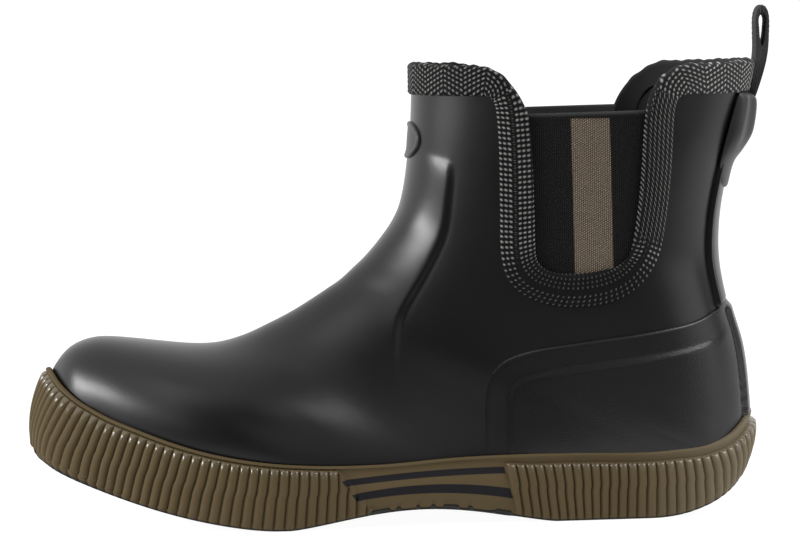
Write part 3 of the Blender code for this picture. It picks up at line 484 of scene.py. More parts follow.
# Curves and roundings.
def smooth_step(low, high, value):
    """From 0 at low to 1 at high, either way round."""
    t = np.clip((value - low) / (high - low), 0.0, 1.0)
    return t * t * (3.0 - 2.0 * t)


def smooth_table(table, value):
    """A smooth curve through a table of pairs."""
    x, y = np.array(table, float).T
    slope = np.gradient(y, x)
    value = np.clip(value, x[0], x[-1])
    i = np.clip(np.searchsorted(x, value) - 1, 0, len(x) - 2)
    step = x[i + 1] - x[i]
    t = (value - x[i]) / step
    return ((2 * t**3 - 3 * t**2 + 1) * y[i] + (t**3 - 2 * t**2 + t) * step * slope[i]
            + (3 * t**2 - 2 * t**3) * y[i + 1] + (t**3 - t**2) * step * slope[i + 1])


def smooth_rows(table, steps):
    """Rows of a table with smooth rows put between them."""
    table = np.array(table, float)
    rows = np.arange(len(table))
    fine = np.linspace(0, len(table) - 1, (len(table) - 1) * steps + 1)
    return np.array([smooth_table(list(zip(rows, column)), fine) for column in table.T]).T


def smooth_loop(values, times):
    """Values round a closed loop, eased towards their neighbours a number of times."""
    for _ in range(times):
        values = (np.roll(values, 1, axis=0) + 2 * values + np.roll(values, -1, axis=0)) / 4
    return values


def rounded(inset, radius):
    """A rounded edge: 0 on the edge and 1 from a radius inwards."""
    return np.sqrt(1.0 - np.clip(1.0 - inset / radius, 0.0, 1.0) ** 2)


def crowned(share, fullness):
    """A rounded crown: 1 in the middle and 0 at shares of -1 and 1."""
    return np.sqrt(np.clip(1.0 - np.abs(share) ** fullness, 0.0, 1.0))


def ridge(value, middle, soft):
    """A soft ridge: 1 on its middle, fading to both sides."""
    return np.exp(-((value - middle) / soft) ** 2)


def run_along(points):
    """The distance passed at each point of a line."""
    return np.append(0.0, np.cumsum(np.linalg.norm(np.diff(points, axis=0), axis=1)))


def step_number(share, steps):
    """The number of the step that a share from 0 to 1 falls on."""
    return np.round(share * steps).astype(int)


PANEL_LINE = smooth_rows(PANEL_EDGE, PANEL_STEPS)
COUNTER_LINE = smooth_rows(COUNTER_EDGE, COUNTER_EDGE_STEPS)


# The last: the boot's outer face.
def section_values(row):
    """The section columns at row numbers, which may lie between two rows of the table."""
    row = np.asarray(row, float)
    i = np.clip(np.floor(row), -1, len(SECTIONS) - 2).astype(int)
    t = (row - i)[..., None]
    a, b, c, d = (SECTION_TABLE[i + k] for k in (1, 2, 3, 4))
    values = b + 0.5 * t * (c - a + t * (2 * a - 5 * b + 4 * c - d + t * (3 * (b - c) + d - a)))
    return dict(zip(SECTION_COLUMNS, np.moveaxis(values, -1, 0)))


@lru_cache(maxsize=None)
def section_side(row):
    """One half of a section from its ridge to its bottom: share of length, (x, z), half-width and more."""
    v = section_values(row)
    angle = np.linspace(0.0, np.pi / 2, SECTION_POINTS)
    bottom = v["bottom_half_width"] if row < HEEL_ROW else 0.0
    rise = np.cos(angle) ** (2 / v["front_round"])
    height = v["widest_at"] + (1 - v["widest_at"]) * rise
    width = v["half_width"] * np.sin(angle) ** (2 / v["front_round"])
    fall = np.sin(angle[1:])
    low = np.clip(1 - fall ** v["back_round"], 0.0, 1.0) ** v["back_power"]
    height = np.append(height, v["widest_at"] * (1 - fall))
    width = np.append(width, bottom + (v["half_width"] - bottom) * low)
    back = np.array([v["back_x"], v["back_z"]])
    front = np.array([v["front_x"], v["front_z"]])
    place = back + height[:, None] * (front - back)
    steps = np.hypot(np.hypot(*np.diff(place, axis=0).T), np.diff(width))
    share = np.append(0.0, np.cumsum(steps))
    return share / share[-1], place, width, v["centre_y"], height, share[-1]


class Last:
    """The boot's outer face in a fine table: a row number and a place around it give a point.

    A place around is 0 on the ridge and +1 or -1 at the bottom edge or the back seam.
    """

    def __init__(self):
        self.first = -ROWS_BEFORE_TIP * ROW_STEP
        rows = np.arange(self.first, len(SECTIONS) - 1 + ROW_STEP / 2, ROW_STEP)
        around = np.linspace(-1.0, 1.0, 2 * HALF_COLUMNS + 1)
        self.points = np.array([self.line(round(float(row), ROW_DIGITS), around) for row in rows])
        eased = smooth_step(*EASED_TOE, rows) * smooth_step(*EASED_VAMP, rows)
        for _ in range(EASED_TIMES):
            beside = 0.25 * (self.points[:-2] + self.points[2:]) - 0.5 * self.points[1:-1]
            self.points[1:-1] += eased[1:-1, None, None] * beside
        along = np.gradient(self.points, axis=0)
        across = np.gradient(self.points, axis=1)
        closed = rows >= HEEL_ROW
        seam = 0.5 * (self.points[closed, 1] - self.points[closed, -2])
        across[closed, 0] = across[closed, -1] = seam
        normals = np.cross(along, across)
        middle = np.array([self.middle(row) for row in rows])
        inward = np.sum(normals * (self.points - middle[:, None]), axis=2) < 0
        normals[inward] *= -1
        normals /= np.maximum(np.linalg.norm(normals, axis=2, keepdims=True), TINY)
        tip = int(round((TIP_ROWS - self.first) / ROW_STEP))
        for i in range(tip):
            normals[i] = normals[tip] * [1.0, rows[i] / TIP_ROWS, 1.0]
        self.normals = normals / np.linalg.norm(normals, axis=2, keepdims=True)

    @staticmethod
    def line(row, around):
        """Points of one section at places around it."""
        share, place, width, centre, _, _ = section_side(row)
        at = np.abs(around)
        side = np.where(around >= 0, 1.0, -1.0)
        return np.stack([np.interp(at, share, place[:, 0]), centre + side * np.interp(at, share, width),
                         np.interp(at, share, place[:, 1])], axis=1)

    @staticmethod
    def middle(row):
        """A point well inside a section."""
        v = section_values(row)
        x = v["back_x"] + MIDDLE_SHARE * (v["front_x"] - v["back_x"])
        z = v["back_z"] + MIDDLE_SHARE * (v["front_z"] - v["back_z"])
        return np.array([min(x, TOE_BOX_X), v["centre_y"], z])

    def at(self, row, around, offset=0.0):
        """Points at an offset from the outer face, for arrays of rows and places."""
        row, around = np.broadcast_arrays(np.asarray(row, float), np.asarray(around, float))
        around = (around + 1.0) % 2.0 - 1.0 if np.any(np.abs(around) > 1.0) else around
        r = np.clip((row - self.first) / ROW_STEP, 1.0, len(self.points) - 2 - TABLE_GUARD)
        c = np.clip((around + 1.0) * HALF_COLUMNS, 0.0, 2 * HALF_COLUMNS - TABLE_GUARD)
        i, j = r.astype(int), c.astype(int)
        s, t = (r - i)[..., None], (c - j)[..., None]
        weights = (-0.5 * s + s**2 - 0.5 * s**3, 1 - 2.5 * s**2 + 1.5 * s**3,
                   0.5 * s + 2 * s**2 - 1.5 * s**3, -0.5 * s**2 + 0.5 * s**3)
        point, normal = 0.0, 0.0
        for k, w in zip((-1, 0, 1, 2), weights):
            row_i = np.clip(i + k, 0, len(self.points) - 1)
            point = point + w * ((1 - t) * self.points[row_i, j] + t * self.points[row_i, j + 1])
            normal = normal + w * ((1 - t) * self.normals[row_i, j] + t * self.normals[row_i, j + 1])
        normal = normal / np.linalg.norm(normal, axis=-1, keepdims=True)
        return point + normal * np.asarray(offset, float)[..., None]


LAST = Last()


def distance_to_line(line, x, z):
    """Signed distance to a line seen from the side, positive on its left, and the share passed."""
    line = np.array(line, float)
    start, run = line[:-1], np.diff(line, axis=0)
    length = np.hypot(*run.T)
    dx, dz = x[:, None] - start[:, 0], z[:, None] - start[:, 1]
    along = np.clip((dx * run[:, 0] + dz * run[:, 1]) / length**2, 0, 1)
    gap = np.hypot(dx - along * run[:, 0], dz - along * run[:, 1])
    i = np.argmin(gap, axis=1)
    pick = np.arange(len(x)), i
    side = np.sign(run[i, 0] * dz[pick] - run[i, 1] * dx[pick])
    passed = (np.append(0.0, np.cumsum(length))[i] + along[pick] * length[i]) / length.sum()
    return gap[pick] * np.where(side == 0, 1.0, side), passed


def instep_relief(points):
    """Height of the raised instep panel and of the trough along its edge."""
    x, z = points[:, 0], points[:, 2]
    gap, passed = distance_to_line(PANEL_LINE, x, z)
    fade = smooth_step(*PANEL_FADE, passed)
    shelf_x, shelf_z, slope = SHELF_LINE
    below = (shelf_z + slope * (x - shelf_x) - z) / np.hypot(1.0, slope)
    below = 0.5 * (below + np.hypot(below, SHELF_SOFT))
    shelf = 1.0 - np.exp(-below / SHELF_REACH)
    shoulder = smooth_step(*PANEL_SHOULDER, gap)
    spread = np.exp(-np.maximum(gap, 0.0) / PANEL_SPREAD)
    trough = ridge(gap, 0.0, TROUGH_WIDTH)
    return fade * shelf * (PANEL_RISE * shoulder * spread - TROUGH_DEPTH * shelf * trough)


def locate(x, z, side):
    """The rows and the places around them of points of the upper seen from the side."""
    x, z = np.asarray(x, float), np.asarray(z, float)
    low, high = np.full(x.shape, LOCATE_FROM_ROW), np.full(x.shape, len(SECTIONS) - 1.0)
    for _ in range(BISECTIONS):
        row = 0.5 * (low + high)
        v = section_values(row)
        run = v["front_x"] - v["back_x"], v["front_z"] - v["back_z"]
        before = (x - v["back_x"]) * run[1] < (z - v["back_z"]) * run[0]
        low, high = np.where(before, row, low), np.where(before, high, row)
    low, high = np.zeros(x.shape), np.ones(x.shape)
    for _ in range(BISECTIONS):
        around = 0.5 * (low + high)
        point = LAST.at(row, around)
        ahead = (point[..., 0] - x) * run[0] + (point[..., 2] - z) * run[1] > 0
        low, high = np.where(ahead, around, low), np.where(ahead, high, around)
    return row, side * around


# Tools of the bench: shaping, merging and trimming a piece.
def select_only(piece):
    bpy.ops.object.select_all(action="DESELECT")
    piece.select_set(True)
    bpy.context.view_layer.objects.active = piece


def get_points(piece):
    """Vertex places in millimetres of the last's frame."""
    flat = np.empty(3 * len(piece.data.vertices))
    piece.data.vertices.foreach_get("co", flat)
    return flat.reshape(-1, 3) / MM + BOX_CENTRE


def set_points(piece, points):
    piece.data.vertices.foreach_set("co", ((points - BOX_CENTRE) * MM).ravel())
    piece.data.update()


def set_attribute(piece, name, values):
    layer = piece.data.attributes.new(name, "FLOAT", "POINT")
    layer.data.foreach_set("value", np.asarray(values, np.float32))


def shaped_grid(name, columns, rows, place, **marks):
    """A grid whose points are moved by place(u, v), shares from 0 to 1; its UV map keeps the shares.

    Each mark is a function of u and v whose values are kept on the points for the finish to read.
    """
    bpy.ops.object.select_all(action="DESELECT")
    bpy.ops.mesh.primitive_grid_add(x_subdivisions=columns, y_subdivisions=rows, size=2.0)
    piece = bpy.context.object
    piece.name = piece.data.name = name
    flat = np.empty(3 * len(piece.data.vertices))
    piece.data.vertices.foreach_get("co", flat)
    share = (flat.reshape(-1, 3)[:, :2] + 1.0) / 2.0
    u = np.round(share[:, 0] * columns) / columns
    v = np.round(share[:, 1] * rows) / rows
    set_points(piece, place(u, v))
    for mark, values in marks.items():
        set_attribute(piece, mark, values(u, v))
    return piece


def merge(piece):
    """Close seams by joining points that lie on each other."""
    select_only(piece)
    bpy.ops.object.mode_set(mode="EDIT")
    bpy.ops.mesh.select_all(action="SELECT")
    bpy.ops.mesh.remove_doubles(threshold=MERGE)
    bpy.ops.mesh.select_all(action="DESELECT")
    bpy.ops.object.mode_set(mode="OBJECT")


def delete_faces(piece, doomed):
    """Delete the faces that a list of True and False names."""
    select_only(piece)
    bpy.ops.object.mode_set(mode="EDIT")
    bpy.ops.mesh.select_mode(type="FACE")
    bpy.ops.mesh.select_all(action="DESELECT")
    bpy.ops.object.mode_set(mode="OBJECT")
    piece.data.polygons.foreach_set("select", np.asarray(doomed, bool))
    bpy.ops.object.mode_set(mode="EDIT")
    bpy.ops.mesh.delete(type="FACE")
    bpy.ops.mesh.select_mode(type="VERT")
    bpy.ops.object.mode_set(mode="OBJECT")


def face_middles(piece):
    flat = np.empty(3 * len(piece.data.polygons))
    piece.data.polygons.foreach_get("center", flat)
    return flat.reshape(-1, 3) / MM + BOX_CENTRE


def border_points(piece):
    """Numbers of the points on open edges."""
    mesh = piece.data
    ends = np.empty(2 * len(mesh.edges), int)
    mesh.edges.foreach_get("vertices", ends)
    used = np.empty(len(mesh.loops), int)
    mesh.loops.foreach_get("edge_index", used)
    open_edges = np.bincount(used, minlength=len(mesh.edges)) == 1
    return np.unique(ends.reshape(-1, 2)[open_edges])


def thicken(piece, thickness):
    """Give a sheet a wall behind its face."""
    select_only(piece)
    wall = piece.modifiers.new("wall", "SOLIDIFY")
    wall.thickness = thickness * MM
    wall.offset = -1.0
    wall.use_even_offset = False
    bpy.ops.object.modifier_apply(modifier=wall.name)


def turn_over(piece):
    """Turn the faces of a sheet to its other side."""
    select_only(piece)
    bpy.ops.object.mode_set(mode="EDIT")
    bpy.ops.mesh.select_all(action="SELECT")
    bpy.ops.mesh.flip_normals()
    bpy.ops.object.mode_set(mode="OBJECT")


def join(first, *others):
    """Make one piece of several and close the seams between them."""
    select_only(first)
    for other in others:
        other.select_set(True)
    bpy.ops.object.join()
    merge(first)


def finish_piece(piece, finish, slot, *nodes, crease=CREASE):
    """Smooth the piece, give it its finish, hang it on the root and hide the CAD parts it stands in for.
    """
    select_only(piece)
    bpy.ops.object.shade_smooth_by_angle(angle=np.radians(crease))
    piece.data.materials.clear()
    piece.data.materials.append(finish)
    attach(piece, "root")
    if nodes:
        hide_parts(*nodes)


# Cup sole.
def rim_height(x):
    """Height of the sole's top edge."""
    return smooth_table(RIM, x)


def arch_rise(x):
    """How far the arch lifts the underside between the ball and the heel."""
    arch = np.clip((x - ARCH_BACK) / (ARCH_FRONT - ARCH_BACK), 0.0, 1.0)
    return ARCH_HEIGHT * np.abs(np.sin(np.pi * arch)) ** ARCH_POWER


def sole_bottom(x):
    """Height of the underside: toe spring, arch and rounded heel."""
    toe = np.clip((x - TOE_SPRING_START) / (TOE_SPRING_END - TOE_SPRING_START), 0.0, None)
    heel = np.clip((x - HEEL_ROUND_START) / (HEEL_ROUND_END - HEEL_ROUND_START), 0.0, None)
    return TOE_SPRING * toe**TOE_SPRING_POWER + arch_rise(x) + HEEL_ROUND * heel**2


def by_end(x, side, toe, heel):
    """A size that changes from the sides of the sole to its toe and to its heel."""
    return side + (toe - side) * smooth_step(*TOE_END, x) + (heel - side) * smooth_step(*HEEL_END, x)


def closing_row(level):
    """The row whose back point lies on a level behind the heel."""
    low, high = HEEL_ROW, HEEL_ROW + CLOSING_ROWS
    for _ in range(BISECTIONS):
        row = 0.5 * (low + high)
        v = section_values(row)
        low, high = (row, high) if v["back_z"] < level(v["back_x"]) else (low, row)
    return row


def contour(level, offset):
    """The upper's outline where it meets a level, heel to toe on the outer side and back on the inner.

    A level of None is the upper's own bottom edge.
    """
    heel = closing_row(level) if level else HEEL_ROW
    rows = np.maximum(heel - np.linspace(0.0, heel**0.5, CONTOUR_POINTS) ** 2, 0.0)
    places = []
    for row in rows:
        share, place, *_ = section_side(round(float(row), ROW_DIGITS))
        at = 1.0
        if level:
            above = place[:, 1] - level(place[:, 0])
            i = int(np.argmax(above < 0)) if (above < 0).any() else len(share) - 1
            at = share[i - 1] + (share[i] - share[i - 1]) * above[i - 1] / (above[i - 1] - above[i])
        places.append(min(at, 1.0))
    places = np.array(places)
    lateral, medial = (LAST.at(rows, side * places, offset) for side in (1.0, -1.0))
    return np.vstack([lateral, medial[-2::-1]])


def even_loop(points, count):
    """The same number of evenly spaced points on each side of a closed outline, heel first."""
    middle = len(points) // 2
    sides = []
    for half in (points[:middle + 1], points[middle:]):
        run = run_along(half)
        at = np.linspace(0.0, run[-1], count // 2 + 1)[:-1]
        sides.append(np.array([np.interp(at, run, half[:, k]) for k in range(3)]).T)
    return np.vstack(sides)


def plan_normals(loop):
    """Outward unit normals in plan of a closed loop of evenly spaced points."""
    tangent = np.roll(loop, -1, axis=0) - np.roll(loop, 1, axis=0)
    normal = smooth_loop(np.stack([-tangent[:, 1], tangent[:, 0]], axis=1), NORMAL_SMOOTHING)
    return normal / np.linalg.norm(normal, axis=1, keepdims=True)


def tread_height(x, inset):
    """Height of the tread's grooves above the underside, at a distance in from its edge."""
    bars = np.abs(x[:, None] - np.array(TREAD_X)).min(axis=1)
    groove = smooth_step(TREAD_WIDTH / 2 + TREAD_SOFT, TREAD_WIDTH / 2 - TREAD_SOFT, bars)
    inner = smooth_step(TREAD_EDGE - TREAD_EDGE_SOFT, TREAD_EDGE + TREAD_EDGE_SOFT, inset)
    height = TREAD_DEPTH * groove * inner
    for values in SLOTS:
        slot = dict(zip(SLOT_COLUMNS, values))
        half = slot["width"] / 2
        open_end = smooth_step(half + TREAD_SOFT, half - TREAD_SOFT, np.abs(x - slot["x"]))
        height = np.maximum(height, SLOT_DEPTH * open_end * (inset < SLOT_REACH))
    return height


class Sole:
    """Rings of the cup sole: floor, lip over the rim, band, ribbed wall and lower edge."""

    def __init__(self):
        dense = contour(rim_height, SOLE_GAP)
        self.ribs = RIB_GROUPS * round(run_along(dense)[-1] / RIB_PITCH / RIB_GROUPS)
        self.count = self.ribs * RIB_SAMPLES
        self.rim = even_loop(dense, self.count)
        self.floor = even_loop(contour(None, CUP_FLOOR_GAP), self.count) - [0.0, 0.0, SOLE_GAP]
        self.normals = plan_normals(self.rim)
        self.length = run_along(np.vstack([self.rim, self.rim[:1]]))[-1]
        step = self.length / self.count
        slope = (np.roll(self.rim[:, 2], -1) - np.roll(self.rim[:, 2], 1)) / (2 * step)
        self.slope = smooth_loop(slope, SLOPE_SMOOTHING)
        lip = smooth_rows(LIP, LIP_STEPS)
        wall = np.linspace(0.0, 1.0, WALL_STEPS + 1) ** WALL_CROWDING
        self.stations = ([("floor", 0.0, 0.0)] + [("lip", out, rise) for out, rise in lip]
                         + [("band", t, 0.0) for t in np.linspace(0.0, 1.0, BAND_STEPS + 2)[1:-1]]
                         + [("wall", t, 0.0) for t in wall]
                         + [("edge", t, 0.0) for t in np.linspace(0.0, 1.0, EDGE_STEPS + 1)[1:]])

    def around(self, values, where):
        """Values of the rim's points at shares of the way round."""
        position = np.arange(self.count + 1) / self.count
        return np.interp(where % 1.0, position, np.append(values, values[0]))

    def wall_place(self, share, passed):
        """Where a share of the way round lands on the wall, at a share of the wall's height."""
        x0 = self.around(self.rim[:, 0], share)
        front, toe, heel = RIM_BAND
        along = front + (RIM_BAND_REAR - front) * smooth_step(*RIM_BAND_X, x0)
        top = rim_height(x0) - by_end(x0, along, toe, heel)
        depth = passed * (top - sole_bottom(x0) - by_end(x0, *EDGE_LIFT))
        side = np.where(share % 1.0 < 0.5, 1.0, -1.0)
        back_part = smooth_step(*RIB_LEAN_X, x0) * (x0 < RIB_LEAN_STOP)
        lean = self.around(self.slope, share) - RIB_LEAN * back_part * side
        jog = RIB_JOG * smooth_step(*RIB_JOG_AT, passed) * side
        return x0, top, depth, share + (lean * depth + jog) / self.length

    def ring(self, share, kind, t, rise):
        """Points of one station of the sole's profile."""
        if kind == "floor":
            return np.stack([self.around(self.floor[:, k], share) for k in range(3)], axis=1)
        passed = {"wall": t, "edge": 1.0}.get(kind, 0.0)
        x0, top, depth, where = self.wall_place(share, passed)
        plan = np.stack([self.around(self.rim[:, k], where) for k in (0, 1)], axis=1)
        normal = np.stack([self.around(self.normals[:, k], where) for k in (0, 1)], axis=1)
        high, middle, low = (by_end(x0, *out) for out in (WALL_TOP_OUT, WALL_MIDDLE_OUT, WALL_BOTTOM_OUT))
        bulge = passed * (1.0 - passed) * 4.0
        full = high * (1 - passed) + low * passed + (middle - 0.5 * (high + low)) * bulge
        ribbed = self.ribbed(share, plan[:, 0], passed, depth, full)
        if kind == "lip":
            out, height = np.full(len(share), t), rim_height(x0) + rise
        elif kind == "band":
            lip_out, lip_rise = LIP[-1]
            lip_z = rim_height(x0) + lip_rise
            out, height = lip_out + (BAND_OUT - lip_out) * t, lip_z + (top - lip_z) * t
        elif kind == "wall":
            out, height = ribbed, None
        else:
            angle = 0.5 * np.pi * t
            out = ribbed + (by_end(x0, *EDGE_OUT) - ribbed) * (1.0 - np.cos(angle))
            height = None
        plan = plan + normal * np.broadcast_to(out, len(share))[:, None]
        if height is None:
            lower = sole_bottom(plan[:, 0]) + tread_height(plan[:, 0], np.zeros(len(share)))
            lift = by_end(x0, *EDGE_LIFT)
            height = lower + lift * (1.0 - np.sin(0.5 * np.pi * t))
            height = np.maximum(top - depth, lower + lift) if kind == "wall" else height
        return np.column_stack([plan, height])

    def rib_phase(self, share):
        """0 on the crest of a rib and 1 in the groove beside it."""
        return np.abs((share * self.ribs) % 1.0 - 0.5) * 2.0

    def ribbed(self, share, x, passed, depth, full):
        """How far the wall stands out: ribs with rounded ends, and the plain midfoot panel."""
        front, back = (top + (bottom - top) * passed for top, bottom in zip(MIDFOOT_TOP, MIDFOOT_BOTTOM))
        plain = smooth_step(front + MIDFOOT_SOFT, front - MIDFOOT_SOFT, x)
        plain = plain * smooth_step(back - MIDFOOT_SOFT, back + MIDFOOT_SOFT, x)
        flat = BAND_OUT + (full - RIB_DEPTH - BAND_OUT) * smooth_step(0.0, MIDFOOT_BLEND, depth)
        crest = BAND_OUT + (full - BAND_OUT) * rounded(depth, RIB_END)
        rib = np.minimum(crest, full - RIB_DEPTH * self.rib_phase(share)**RIB_FULLNESS)
        return rib * (1 - plain) + flat * plain

    def place(self, u, v):
        """Points of the cup's body: once round along u, down its stations along v."""
        points = np.empty((len(u), 3))
        station = step_number(v, len(self.stations) - 1)
        for k, (kind, t, rise) in enumerate(self.stations):
            here = station == k
            points[here] = self.ring(u[here], kind, t, rise)
        return points

    def tips(self, u, v):
        """1 on the rounded top end of each rib and 0 elsewhere."""
        station = step_number(v, len(self.stations) - 1)
        tips = np.zeros(len(u))
        for k, (kind, t, _) in enumerate(self.stations):
            if kind == "wall":
                here = station == k
                x0, _, depth, _ = self.wall_place(u[here], t)
                crest = smooth_step(*RIB_TIP_PHASE, self.rib_phase(u[here]))
                ribs = (x0 > MIDFOOT_TOP[0]) | (x0 < MIDFOOT_TOP[1])
                tips[here] = ribs * smooth_step(*RIB_TIP, depth) * crest
        return tips

    # The marked points are coloured darker.
    def tread(self, u, v):
        """1 on the lower part of the sole's edge and 0 elsewhere."""
        station = step_number(v, len(self.stations) - 1)
        dark = [kind == "edge" and t > EDGE_DARK for kind, t, _ in self.stations]
        return np.array(dark, float)[station]

    def spread(self, station, u, v):
        """Points across the sole between the two sides of a station's ring, heel to toe."""
        left = self.ring(0.5 * u, *station)
        right = self.ring(1.0 - 0.5 * u, *station)
        return left + (right - left) * v[:, None]

    def under(self, u, v):
        """Points of the underside with its tread, and the part that hangs below the arch's edge."""
        edge = self.stations[-1]
        points = self.spread(edge, u, v)
        width = np.linalg.norm(self.spread(edge, u, v * 0) - self.spread(edge, u, v * 0 + 1), axis=1)
        inset = np.minimum(v, 1.0 - v) * width
        inner = (v > 0) & (v < 1)
        x = points[:, 0]
        hang = MIDFOOT_HANG * smooth_step(*MIDFOOT_HANG_RISE, arch_rise(x)) * (inset > SLOT_REACH)
        points[inner, 2] = (sole_bottom(x) + tread_height(x, inset) - hang)[inner]
        return points

    def cup_floor(self, u, v):
        """Points of the floor inside the cup."""
        return self.spread(self.stations[0], u, 1.0 - v)


def none_marked(u, v):
    """A mark of 0 all over."""
    return np.zeros(len(u))


def all_marked(u, v):
    """A mark of 1 all over."""
    return np.ones(len(u))


def make_sole(finish):
    """The cup sole: body, underside and inner floor closed into one piece."""
    sole = Sole()
    half = sole.count // 2
    body = shaped_grid("cup_sole", sole.count, len(sole.stations) - 1, sole.place,
                       tips=sole.tips, tread=sole.tread)
    under = shaped_grid("tread", half, UNDER_COLUMNS, sole.under, tips=none_marked, tread=all_marked)
    floor = shaped_grid("cup_floor", half, FLOOR_COLUMNS, sole.cup_floor,
                        tips=none_marked, tread=none_marked)
    join(body, under, floor)
    finish_piece(body, finish, "brown_rubber", "outsole", crease=RUBBER_CREASE)


# Upper: one moulded skin with a notch in each side of the shaft.
def inside(outline, x, z):
    """True for points inside an outline seen from the side."""
    line = np.array(outline, float)
    after = np.roll(line, -1, axis=0)
    within = np.zeros(len(x), bool)
    for (x0, z0), (x1, z1) in zip(line, after):
        if z0 == z1:
            continue
        crosses = ((z0 > z) != (z1 > z)) & (x < (x1 - x0) * (z - z0) / (z1 - z0) + x0)
        within ^= crosses
    return within


def tape_lines(side):
    """The notch's cut edge and the tape's far edge, seen from the side; the inner notch is rounder."""
    line = smooth_rows(TAPE, TAPE_STEPS)
    edge, far = line[:, :2], line[:, 2:]
    if side < 0:
        for part in (edge, far):
            rear = part[:, 0] < NOTCH_REAR_X
            part[rear, 0] -= INNER_CORNER * smooth_step(*INNER_CORNER_Z, part[rear, 1])
    return edge, far


def notch_line(side, grow=0.0):
    """The notch's cut edge seen from the side, front to back, grown by a distance."""
    edge, far = tape_lines(side)
    return edge + (far - edge) * grow / np.linalg.norm(far - edge, axis=1, keepdims=True)


def cut_notches(piece, offset, grow=0.0):
    """Delete the faces in the two notches and draw the edge left there onto the cut line."""
    middles = face_middles(piece)
    doomed = np.zeros(len(middles), bool)
    for side in (1.0, -1.0):
        line = notch_line(side, grow)
        outline = np.vstack([line, [[line[-1, 0], NOTCH_TOP], [line[0, 0], NOTCH_TOP]]])
        doomed |= inside(outline, middles[:, 0], middles[:, 2]) & (middles[:, 1] * side > 0.0)
    delete_faces(piece, doomed)
    points = get_points(piece)
    border = border_points(piece)
    for side in (1.0, -1.0):
        line = notch_line(side, grow)
        row, around = locate(line[:, 0], line[:, 1], side)
        edge = LAST.at(row, around, np.full(len(row), offset))
        near = border[points[border, 1] * side > NOTCH_LEAST_Y]
        gaps = np.linalg.norm(points[near, None] - edge[None], axis=2)
        close = gaps.min(axis=1) < NOTCH_SNAP
        points[near[close]] = edge[gaps.argmin(axis=1)[close]]
    set_points(piece, points)


def make_upper(finish):
    """The skin; its columns crowd along the instep panel's edge, and its rows at the panel's top."""
    edge_row, edge_around = locate(PANEL_LINE[:, 0], PANEL_LINE[:, 1], 1.0)
    order = np.argsort(edge_row)
    rows = np.linspace(0.0, COLLAR_ROW, 2 * UPPER_ROWS)
    weight = np.cumsum(1.0 + SHELF_CROWDING * ridge(rows, SHELF_ROW, SHELF_SPREAD))
    passed = (weight - weight[0]) / (weight[-1] - weight[0])

    def place(u, v):
        row = np.interp(v, passed, rows)
        share = np.abs(2.0 * u - 1.0)
        fold = np.interp(row, edge_row[order], edge_around[order])
        before = 1.0 - (1.0 - np.clip(share / UPPER_SHARE, 0.0, 1.0)) ** UPPER_CROWDING
        after = np.clip((share - UPPER_SHARE) / (1.0 - UPPER_SHARE), 0.0, 1.0) ** UPPER_CROWDING
        around = np.sign(u - 0.5) * (fold * before + (1.0 - fold) * after)
        return LAST.at(row, around, instep_relief(LAST.at(row, around)))

    upper = shaped_grid("upper_skin", UPPER_COLUMNS, UPPER_ROWS, place)
    merge(upper)
    cut_notches(upper, 0.0)
    thicken(upper, WALL)
    finish_piece(upper, finish, "black_rubber", "upper", crease=RUBBER_CREASE)


def make_lining(finish):
    """The knitted lining inside the foot and the shaft."""
    def place(u, v):
        row = LINING_ROWS[0] + v * (LINING_ROWS[1] - LINING_ROWS[0])
        return LAST.at(row, 2.0 * u - 1.0, np.full(len(u), -WALL - LINING_GAP))

    lining = shaped_grid("lining", LINING_COLUMNS, LINING_STEPS, place)
    merge(lining)
    cut_notches(lining, -WALL - LINING_GAP, LINING_NOTCH)
    thicken(lining, LINING_THICK)
    finish_piece(lining, finish, "grey_felt")


